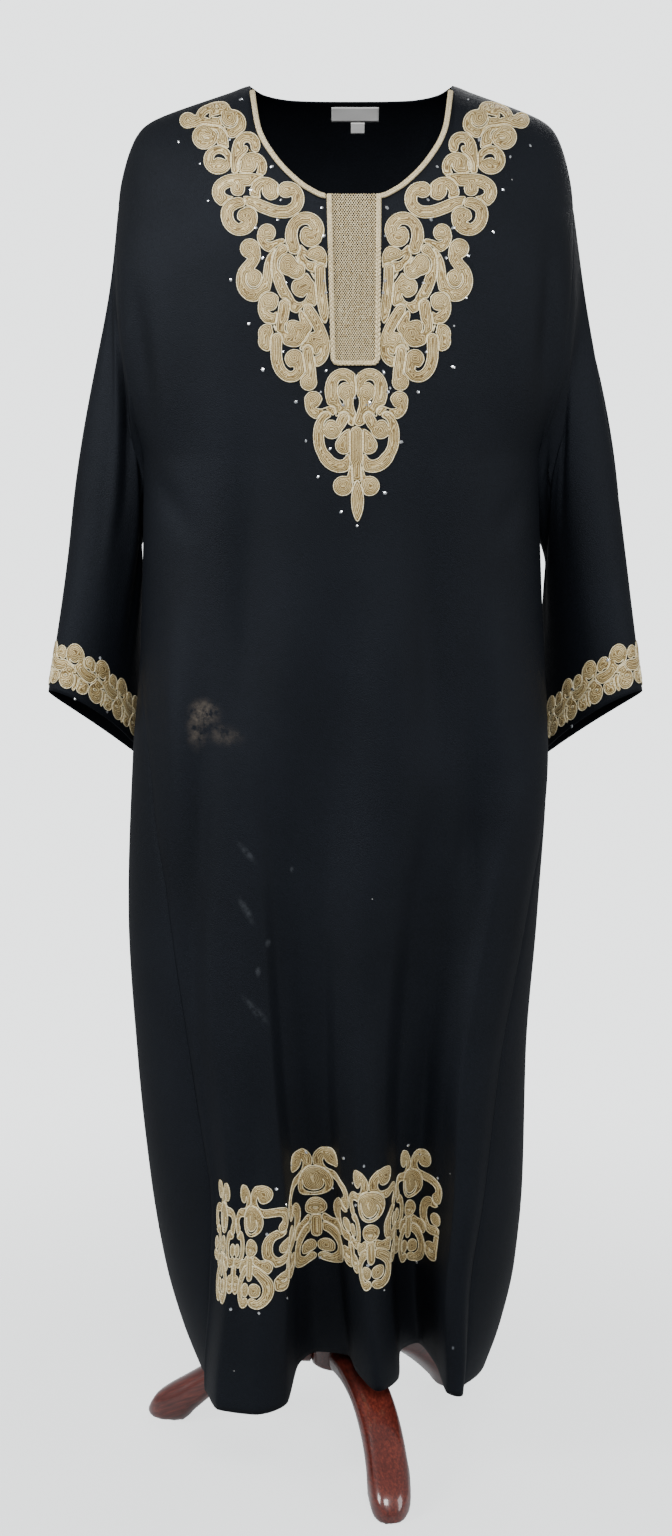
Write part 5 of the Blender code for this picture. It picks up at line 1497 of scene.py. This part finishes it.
net_yarn = grained("knotted_gold_net", NET_PLY_MM, ((0.35, "#c4ab78"), (0.65, "#f6e8c0")), detail=1.0,
                   Roughness=0.5, Metallic=0.22)
net = laid_mesh("bib_net", curve_mesh("bib_net", runs, NET_THREAD, cyclic=False, sides=0), net_yarn)
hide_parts("bib_net")

# %% [markdown]
# The label and its tab are woven satin ribbon with folded ends, left blank. Each is a small grid
# laid against the inside of the back, bowed a little away from it between its stitched ends. Satin
# gives the eye a clean white with faint lines of weft.

# %% Label and tab
LABELS = {
    # left, right, top, bottom, bow
    "neck_label": (-0.0090, 0.0430, 1.5070, 1.4930, 0.0006),
    "size_tab": (0.0125, 0.0275, 1.4924, 1.4815, 0.0003),
}
LABEL_OFF = 0.0005                   # off the back's inner face
LABEL_CELLS = (25, 9)
RIBBON = 0.0003                      # the ribbon's thickness
WEFT_MM = 5.0

satin_ribbon, tree, shader, _ = new_finish("woven_satin_ribbon")
cloth_map = add(tree, "ShaderNodeUVMap", uv_map="cloth").outputs["UV"]
weft = add(tree, "ShaderNodeTexWave", {"Vector": cloth_map, "Scale": MM / WEFT_MM, "Distortion": 0.4},
           bands_direction="Y")
ribbon_colour = ramp(tree, weft.outputs["Fac"], ((0.0, "#eeeeea"), (1.0, "#ffffff")))
tree.links.new(ribbon_colour, shader.inputs["Base Color"])
set_values(shader, Roughness=0.42, Sheen_Weight=0.2)
back_tree = tree_of(panels["back"])
for name, (x0, x1, top, bottom, bow) in LABELS.items():
    points = np.empty((*LABEL_CELLS, 3))
    for i, j in np.ndindex(*LABEL_CELLS):
        across, down = i / (LABEL_CELLS[0] - 1), j / (LABEL_CELLS[1] - 1)
        start = Vector((x0 + (x1 - x0) * across, 0.0, top + (bottom - top) * down)) + Vector(AXIS)
        hit, _, _, _ = back_tree.ray_cast(start, Vector((0, 1, 0)))
        lift = WALL + LABEL_OFF + bow * math.sin(math.pi * across) * math.sin(math.pi * down)
        points[i, j] = np.array(hit) - AXIS - np.array([0, lift, 0])
    outward = np.tile(np.array([0.0, -1.0, 0.0]), (*LABEL_CELLS, 1))
    piece = draped(name + "_ribbon", points, satin_ribbon, RIBBON, outward)
    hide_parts(name)
    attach(piece, "root")

# %% [markdown]
# Small silver-backed stones are scattered on the black cloth between the scrolls. Each is a low
# cut stone: a ball of few faces, pressed flat and left faceted, so that its facets catch the light
# one by one. All of them are one mesh.

# %% Places of the stones
YOKE_STONES = (
    (179, 142), (200, 164), (208, 201), (231, 280), (249, 324), (263, 370), (296, 402), (306, 441),
    (318, 477), (241, 100), (230, 140), (272, 167), (251, 190), (281, 200), (278, 220), (256, 228),
    (263, 258), (322, 208), (324, 236), (324, 281), (286, 283), (326, 293), (283, 352), (326, 371),
    (321, 392), (343, 405),
)
MIDDLE_STONES = (
    (341, 512), (357, 526), (385, 493), (401, 442), (355, 398), (370, 403), (330, 449), (390, 388),
)
RIGHT_STONES = (
    (530, 146), (510, 157), (503, 190), (493, 232), (468, 256), (466, 298), (454, 326), (453, 367),
    (418, 392), (384, 373),
)
HEM_STONES = (
    (226, 1189), (276, 1189), (291, 1165), (306, 1152), (344, 1158), (364, 1166), (353, 1183), (408, 1145),
    (420, 1154), (438, 1178), (267, 1234), (333, 1188), (286, 1205), (370, 1218), (356, 1205), (287, 1298),
    (259, 1313), (231, 1309), (320, 1257), (343, 1259), (368, 1265), (384, 1290), (417, 1262),
)
LEFT_CUFF_STONES = ((100, 658), (107, 712), (75, 699))
RIGHT_CUFF_STONES = ((608, 660), (573, 689), (572, 726), (565, 687))
MIRRORED_FROM = 9                    # the first yoke stones have no twin on the right

# %% Stones
STONE_HALF = 0.0016
STONE_FLAT = 0.55
STONE_LIFT = 0.4                     # share of its size that a stone's middle stands off the cloth
FOIL_MM = 3.0

rng = np.random.default_rng(11)
mirror_stones = tuple((2 * YOKE_MIRROR - x, y) for x, y in YOKE_STONES[MIRRORED_FROM:])
sleeve_trees = {name: tree_of(piece) for name, piece in sleeves.items()}
stone_places = [(x, y, front_tree) for x, y in
                YOKE_STONES + mirror_stones + MIDDLE_STONES + RIGHT_STONES + HEM_STONES]
stone_places += [(x, y, sleeve_trees["sleeve_left"]) for x, y in LEFT_CUFF_STONES]
stone_places += [(x, y, sleeve_trees["sleeve_right"]) for x, y in RIGHT_CUFF_STONES]
bm = bmesh.new()
for x, y, tree_under in stone_places:
    hit, normal = meet(x, y, tree_under)
    size = STONE_HALF * rng.uniform(0.8, 1.25)
    longer = rng.uniform(1.0, 1.5)
    turn = Matrix.Rotation(rng.uniform(0, math.pi), 4, "Z")
    stone = bmesh.ops.create_icosphere(bm, subdivisions=1, radius=1.0)["verts"]
    shape = Matrix.Diagonal((size * longer, size, size * STONE_FLAT, 1.0))
    facing = normal.to_track_quat("Z", "Y").to_matrix().to_4x4()
    place_it = Matrix.Translation(hit + normal * size * STONE_LIFT) @ facing
    bmesh.ops.transform(bm, matrix=place_it @ turn @ shape, verts=stone)
mesh = mesh_from(bm, "stones")
mesh.materials.append(grained("foil_backed_glass", FOIL_MM, ((0.35, "#c9d2da"), (0.65, "#ffffff")),
                              Roughness=0.12, Metallic=0.85, Coat_Weight=0.6, Coat_Roughness=0.05))
stones = in_scene("stones", mesh)
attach(stones, "root")
print("stones:", len(stone_places))

# %% [markdown]
# Under the cloth stands a limbless form covered in dark jersey. It is one ball whose points are
# moved: the first rings make the scooped top between the shoulders, the next ones the sides, and
# the last ones the flat base. The jersey is matt charcoal, so it stays a shadow inside the neck.

# %% Form
FORM = (
    # height, half width, half depth
    (0.745, 0.150, 0.088),
    (0.765, 0.166, 0.100),
    (0.860, 0.172, 0.104),
    (0.960, 0.155, 0.096),
    (1.060, 0.132, 0.088),
    (1.160, 0.140, 0.096),
    (1.250, 0.158, 0.110),
    (1.330, 0.172, 0.108),
    (1.400, 0.185, 0.096),
)
FORM_SCOOP = (
    # distance from the middle, height of the hollow between the form's shoulders
    (0.000, 1.3680),
    (0.040, 1.3720),
    (0.065, 1.3880),
    (0.086, 1.4180),
    (0.106, 1.4640),
    (0.124, 1.5300),
    (0.145, 1.6500),
    (0.250, 2.5000),
)
FORM_BOTTOM = 0.745
FORM_SHOULDER_HALF = 0.208
FORM_DEPTH_SHARE = 0.75
FORM_ROUND = 0.012
FORM_CLEAR = 0.0027                  # the form's wall stays this far inside the cloth's outer face
FORM_TOP_PART, FORM_BASE_PART = 0.50, 0.97
FORM_SQUARE = 0.85
FORM_BLEND = 3.2
KNIT_MM = 1.3
SHOULDER_SLOPE = math.radians(22)
SHOULDER_DROP = 0.30
TIP_START, TIP_FALL = 0.19, 0.6


def cloth_depth(x, side):
    share = math.asin(min(abs(x) / TIP_HALF, 1.0)) / (math.pi / 2)
    angle = share * math.pi / 2 if side > 0 else math.pi - share * math.pi / 2
    return abs(float(outline(TIP_HEIGHT, angle, 1 if side > 0 else -1)[1]))


def form_middle(x):
    return (BODY[-1][1] + BODY[-1][2]) / 2 + FRONT_SHIFT * (1 - (x / TIP_HALF) ** 2)


def form_top(x, y):
    place = min(abs(x), TIP_HALF)
    lean = min(abs(y) / cloth_depth(x, -y), 1.0)
    shoulder = float(read(RIDGE, place, 1)) - FORM_CLEAR / math.cos(SHOULDER_SLOPE)
    shoulder -= SHOULDER_DROP * (1 - math.sqrt(1 - lean**2)) + TIP_FALL * max(place - TIP_START, 0.0)
    scoop = float(read(FORM_SCOOP, place, 1))
    return (shoulder + scoop - math.hypot(shoulder - scoop, FORM_ROUND)) / 2


def form_point(angle, share):
    """Scooped top and shoulders for the first part, then the sides, then the flat base."""
    side = math.copysign(abs(math.sin(angle)) ** FORM_SQUARE, math.sin(angle))
    front = math.copysign(abs(math.cos(angle)) ** FORM_SQUARE, math.cos(angle))
    rim_x = FORM_SHOULDER_HALF * side
    rim_y = -FORM_DEPTH_SHARE * cloth_depth(rim_x, front) * front
    if share <= FORM_TOP_PART:
        reach = math.sin(share / FORM_TOP_PART * math.pi / 2)
        x, y = rim_x * reach, rim_y * reach
        return x + form_middle(x), y, form_top(x, y)
    if share <= FORM_BASE_PART:
        part = (share - FORM_TOP_PART) / (FORM_BASE_PART - FORM_TOP_PART)
        rim = form_top(rim_x, rim_y)
        height = rim + (FORM_BOTTOM - rim) * part
        blend = min(1.0, part * FORM_BLEND)
        blend = blend * blend * (3 - 2 * blend)
        x = rim_x + (float(read(FORM, height, 1)) * side - rim_x) * blend
        y = rim_y + (-float(read(FORM, height, 2)) * front - rim_y) * blend
        return x + form_middle(x) * (1 - part), y, height
    part = (1 - share) / (1 - FORM_BASE_PART)
    return FORM[0][1] * side * part, -FORM[0][2] * front * part, FORM_BOTTOM


def mapped_ball(name, around, rings, place, finish):
    """A closed shape: a ball whose points are placed by angle and by share from top to bottom."""
    bm = bmesh.new()
    bmesh.ops.create_uvsphere(bm, u_segments=around, v_segments=rings, radius=1.0)
    for vert in bm.verts:
        angle = math.atan2(vert.co.x, -vert.co.y)
        share = math.acos(max(-1.0, min(1.0, vert.co.z))) / math.pi
        vert.co = Vector(place(angle, share))
    bmesh.ops.recalc_face_normals(bm, faces=bm.faces[:])
    return laid_mesh(name, mesh_from(bm, name), finish)


jersey = grained("charcoal_cotton_jersey", KNIT_MM, ((0.35, "#111216"), (0.65, "#1d1e23")), bump=(0.4, 0.4),
                 Roughness=0.85, Sheen_Weight=0.1)
form = mapped_ball("form_cover", 72, 60, form_point, jersey)
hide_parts("form_torso")

# %% [markdown]
# The pole is a brushed steel tube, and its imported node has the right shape, so it only gets its
# finish: fine rings left by the brush, drawn at 0.8 mm so that they show.

# %% Pole
RING_MM, ALONG_MM = 0.8, 125.0       # a ring's height, and how far it runs round the tube

brushed_steel, tree, shader, place = new_finish("brushed_steel_tube")
rings = (MM / ALONG_MM, MM / ALONG_MM, MM / RING_MM)
stretch = add(tree, "ShaderNodeMapping", {"Vector": place, "Scale": rings}).outputs["Vector"]
brush = noise(tree, stretch, MM)
tree.links.new(ramp(tree, brush, ((0.3, "#8c8d90"), (0.7, "#b9babd"))), shader.inputs["Base Color"])
bumped(tree, shader, brush, 0.2, 0.2)
set_values(shader, Metallic=1.0, Roughness=0.32)
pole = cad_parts["form_pole"]
for held in pole.material_slots:
    held.material = brushed_steel
print("pole slots:", len(pole.material_slots))

# %% [markdown]
# The stand is turned and carved beech, stained mahogany red and lacquered to a high gloss. The
# eye sees dark grain under a clear coat with sharp lights. The grain is a noise pulled long in the
# direction in which each piece was sawn, and each leg turns it to its own direction.

# %% Lacquered wood
FIBRE_MM, FIBRE_LONG_MM = 2.5, 60.0
HEARTWOOD_MM = 71.4                  # size of the darker and lighter parts of the board


def lacquered_wood(name, degrees, tilt):
    """Stained wood with its grain along a direction: turned round the pole, then tilted down."""
    material, tree, shader, place = new_finish(name)
    turn = (0, tilt, math.radians(90 - degrees))
    turned = add(tree, "ShaderNodeMapping", {"Vector": place, "Rotation": turn})
    fibres = (MM / FIBRE_LONG_MM, MM / FIBRE_MM, MM / FIBRE_MM)
    pulled = add(tree, "ShaderNodeMapping", {"Vector": turned.outputs["Vector"], "Scale": fibres})
    fibre = noise(tree, pulled.outputs["Vector"], MM, 4.0, 0.6)
    tone = between(tree, 0.35, fibre, noise(tree, place, HEARTWOOD_MM))
    colour = ramp(tree, tone, ((0.30, "#2a0d08"), (0.52, "#57211a"), (0.72, "#7d3627")))
    tree.links.new(colour, shader.inputs["Base Color"])
    bumped(tree, shader, fibre, 0.08, 0.3)
    set_values(shader, Roughness=0.30, Coat_Weight=1.0, Coat_Roughness=0.06)
    return material


print("wood's fibre:", FIBRE_MM, "mm wide")

# %% Turned hub
HUB_RADIUS = 0.033
HUB_PROFILE = (
    # radius, height
    (0.0, 0.1647), (0.0165, 0.1647), (0.0190, 0.1640), (0.0200, 0.1620), (0.0195, 0.1600),
    (0.0178, 0.1560), (0.0175, 0.1520), (0.0182, 0.1485), (0.0205, 0.1455), (0.0240, 0.1425),
    (0.0280, 0.1390), (0.0312, 0.1350), (0.0326, 0.1300), (HUB_RADIUS, 0.1250), (HUB_RADIUS, 0.0960),
    (0.0322, 0.0915), (0.0290, 0.0890), (0.0, 0.0880),
)
bm = bmesh.new()
ring = [bm.verts.new((radius, 0, height)) for radius, height in HUB_PROFILE]
edges = [bm.edges.new(pair) for pair in zip(ring, ring[1:])]
bmesh.ops.spin(bm, geom=ring + edges, cent=(0, 0, 0), axis=(0, 0, 1), angle=2 * math.pi, steps=48,
               use_merge=True)
bmesh.ops.remove_doubles(bm, verts=bm.verts[:], dist=1e-6)
bmesh.ops.recalc_face_normals(bm, faces=bm.faces[:])
wood = lacquered_wood("lacquered_beech_hub", 0.0, math.pi / 2)
hub = laid_mesh("turned_hub", mesh_from(bm, "turned_hub"), wood)
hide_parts("stand_hub")

# %% [markdown]
# Each leg leaves the hub level, swings down in a knee and ends in a slipper foot. It is a ball
# again, moved to a rounded square section along the leg's line, with the end at the hub hollowed to
# the hub's round. As in the picture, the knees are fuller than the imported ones, the front leg bows
# a little and the rear foot turns in behind the skirt.

# %% Carved legs
LEG_ANGLES = {"leg_front": 14.0, "leg_left": -106.0, "leg_right_back": 134.0}
LEG = (
    # distance from the pole, top, underside, half width
    (0.033, 0.119, 0.089, 0.0150),
    (0.060, 0.117, 0.087, 0.0155),
    (0.080, 0.1115, 0.082, 0.0160),
    (0.100, 0.104, 0.073, 0.0165),
    (0.120, 0.094, 0.060, 0.0170),
    (0.150, 0.077, 0.036, 0.0180),
    (0.175, 0.060, 0.013, 0.0195),
    (0.190, 0.050, -0.002, 0.0210),
    (0.210, 0.037, -0.006, 0.0205),
    (0.226, 0.024, -0.004, 0.0150),
    (0.234, 0.010, 0.001, 0.0070),
)
LEG_CAP, LEG_TIP, LEG_SQUARE, LEG_ROOT = 0.14, 0.93, 0.75, 0.12
HUB_GAP = 0.0003
LEG_FULL, FOOT_SLIM = 1.40, 0.40     # the carved leg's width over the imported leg's, less at the foot
LEG_SWAY = {                         # how far its middle and its foot stand aside of its line
    "leg_front": (0.012, 0.0), "leg_left": (0.0, 0.0), "leg_right_back": (0.0, 0.018),
}
LEG_TILT = 0.42                      # slope of the grain down the leg

for name, degrees in LEG_ANGLES.items():
    azimuth = math.radians(degrees)
    away = Vector((math.sin(azimuth), -math.cos(azimuth), 0))
    aside = Vector((-away.y, away.x, 0))

    def leg_point(angle, share):
        part = min(max((share - LEG_CAP) / (LEG_TIP - LEG_CAP), 0.0), 1.0)
        reach = LEG[0][0] + (LEG[-1][0] - LEG[0][0]) * part
        top, below = float(read(LEG, reach, 1)), float(read(LEG, reach, 2))
        size = min(1.0, share / LEG_CAP, (1 - share) / (1 - LEG_TIP))
        across = float(read(LEG, reach, 3)) * (LEG_FULL - FOOT_SLIM * part**2) * size
        across *= math.copysign(abs(math.sin(angle)) ** LEG_SQUARE, math.sin(angle))
        up = math.copysign(abs(math.cos(angle)) ** LEG_SQUARE, math.cos(angle)) * size
        height = max(0.0, (top + below) / 2 + (top - below) / 2 * up)
        belly, toe = LEG_SWAY[name]
        across += belly * math.sin(math.pi * part) + toe * part**2
        if part < LEG_ROOT:
            face = math.sqrt(max(0.0, (HUB_RADIUS + HUB_GAP) ** 2 - across**2))
            reach = max(reach - LEG[0][0], 0.0) + face
        return away * reach + aside * across + Vector((0, 0, height))

    wood = lacquered_wood("lacquered_beech_" + name, degrees, LEG_TILT)
    piece = mapped_ball(name + "_carved", 28, 48, leg_point, wood)
    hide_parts(name)

# %% [markdown]
# The floor is plain matt paper that fades out into the pale studio a little way off, so no horizon
# shows. The world's own colour is what the camera sees behind the kaftan.

# %% Floor
FLOOR_HALF = 6.0
FADE_START, FADE_END = 0.30, 1.5
FADE_LEAST = 0.62                    # share of the backdrop that even the paper's middle lets through
BACKDROP, PAPER = "#eff2f3", "#edf0f1"

bm = bmesh.new()
bmesh.ops.create_grid(bm, x_segments=1, y_segments=1, size=FLOOR_HALF)
mesh = mesh_from(bm, "floor")
floor = in_scene("floor", mesh)
paper, tree, shader, place = new_finish("pale_paper")
away_out = add(tree, "ShaderNodeVectorMath", {0: place}, operation="LENGTH").outputs["Value"]
fade = add(tree, "ShaderNodeMapRange", {"Value": away_out, "From Min": FADE_START, "From Max": FADE_END,
                                        "To Min": FADE_LEAST}, interpolation_type="SMOOTHSTEP")
clear = add(tree, "ShaderNodeBsdfTransparent")
mixed = add(tree, "ShaderNodeMixShader", {0: fade.outputs["Result"], 1: shader.outputs[0],
                                          2: clear.outputs[0]})
tree.links.new(mixed.outputs[0], tree.nodes["Material Output"].inputs["Surface"])
set_values(shader, Base_Color=linear(PAPER), Roughness=0.9)
mesh.materials.append(paper)
print("floor:", 2 * FLOOR_HALF, "m wide")

# %% [markdown]
# The light is a studio's: a wide soft box high on the viewer's left, a weaker one on the right, one
# high in front that reaches into the neck and brings out the embroidery, one behind that parts the
# shoulders from the wall, and an even glow from all round.

# %% World and lights
GLOW, SEEN = 0.36, 2.90              # what lights the kaftan, and what the camera sees behind it
world = bpy.data.worlds.new("studio")
bpy.context.scene.world = world
world.use_nodes = True
tree = world.node_tree
glow = tree.nodes["Background"]
glow.inputs["Color"].default_value = linear("#eef0f3")
glow.inputs["Strength"].default_value = GLOW
seen = add(tree, "ShaderNodeBackground", {"Color": linear(BACKDROP), "Strength": SEEN})
path = add(tree, "ShaderNodeLightPath")
both = add(tree, "ShaderNodeMixShader", {0: path.outputs["Is Camera Ray"], 1: glow.outputs[0],
                                         2: seen.outputs[0]})
tree.links.new(both.outputs[0], tree.nodes["World Output"].inputs["Surface"])

LIGHTS = (
    # name, place, aimed at, width, height, watts
    ("key", (-2.6, -1.5, 2.4), (0.0, 0.0, 0.9), 1.2, 1.6, 92.0),
    ("fill", (2.7, -1.4, 1.6), (0.0, 0.0, 0.8), 1.2, 2.0, 40.0),
    ("front", (0.2, -2.7, 3.0), (0.0, 0.0, 1.2), 1.4, 1.0, 78.0),
    ("behind", (0.6, 2.6, 2.6), (0.0, 0.0, 1.0), 1.8, 1.8, 45.0),
)
for name, place, aim, width, height, watts in LIGHTS:
    lamp = bpy.data.lights.new(name, "AREA")
    lamp.shape = "RECTANGLE"
    lamp.size, lamp.size_y = width, height
    lamp.energy = watts
    holder = in_scene(name, lamp)
    holder.location = place
    holder.rotation_euler = (Vector(aim) - Vector(place)).to_track_quat("-Z", "Y").to_euler()
print("lights:", len(LIGHTS))

# %% [markdown]
# The cut sizes of the front and the back are listed: the front and the back are flared panels, and
# each sleeve is a tapered tube. The areas are those of the drawn cloth. The widths and lengths are
# only rough, and a sleeve opened flat is really about 0.62 m wide at the armhole and 0.53 m long.

# %% Cut sizes
CUTS = (
    # node, width, length, flat area in square metres
    ("front", 0.70, 1.42, 0.71),
    ("back", 0.82, 1.46, 0.98),
)
for node, width, length, area in CUTS:
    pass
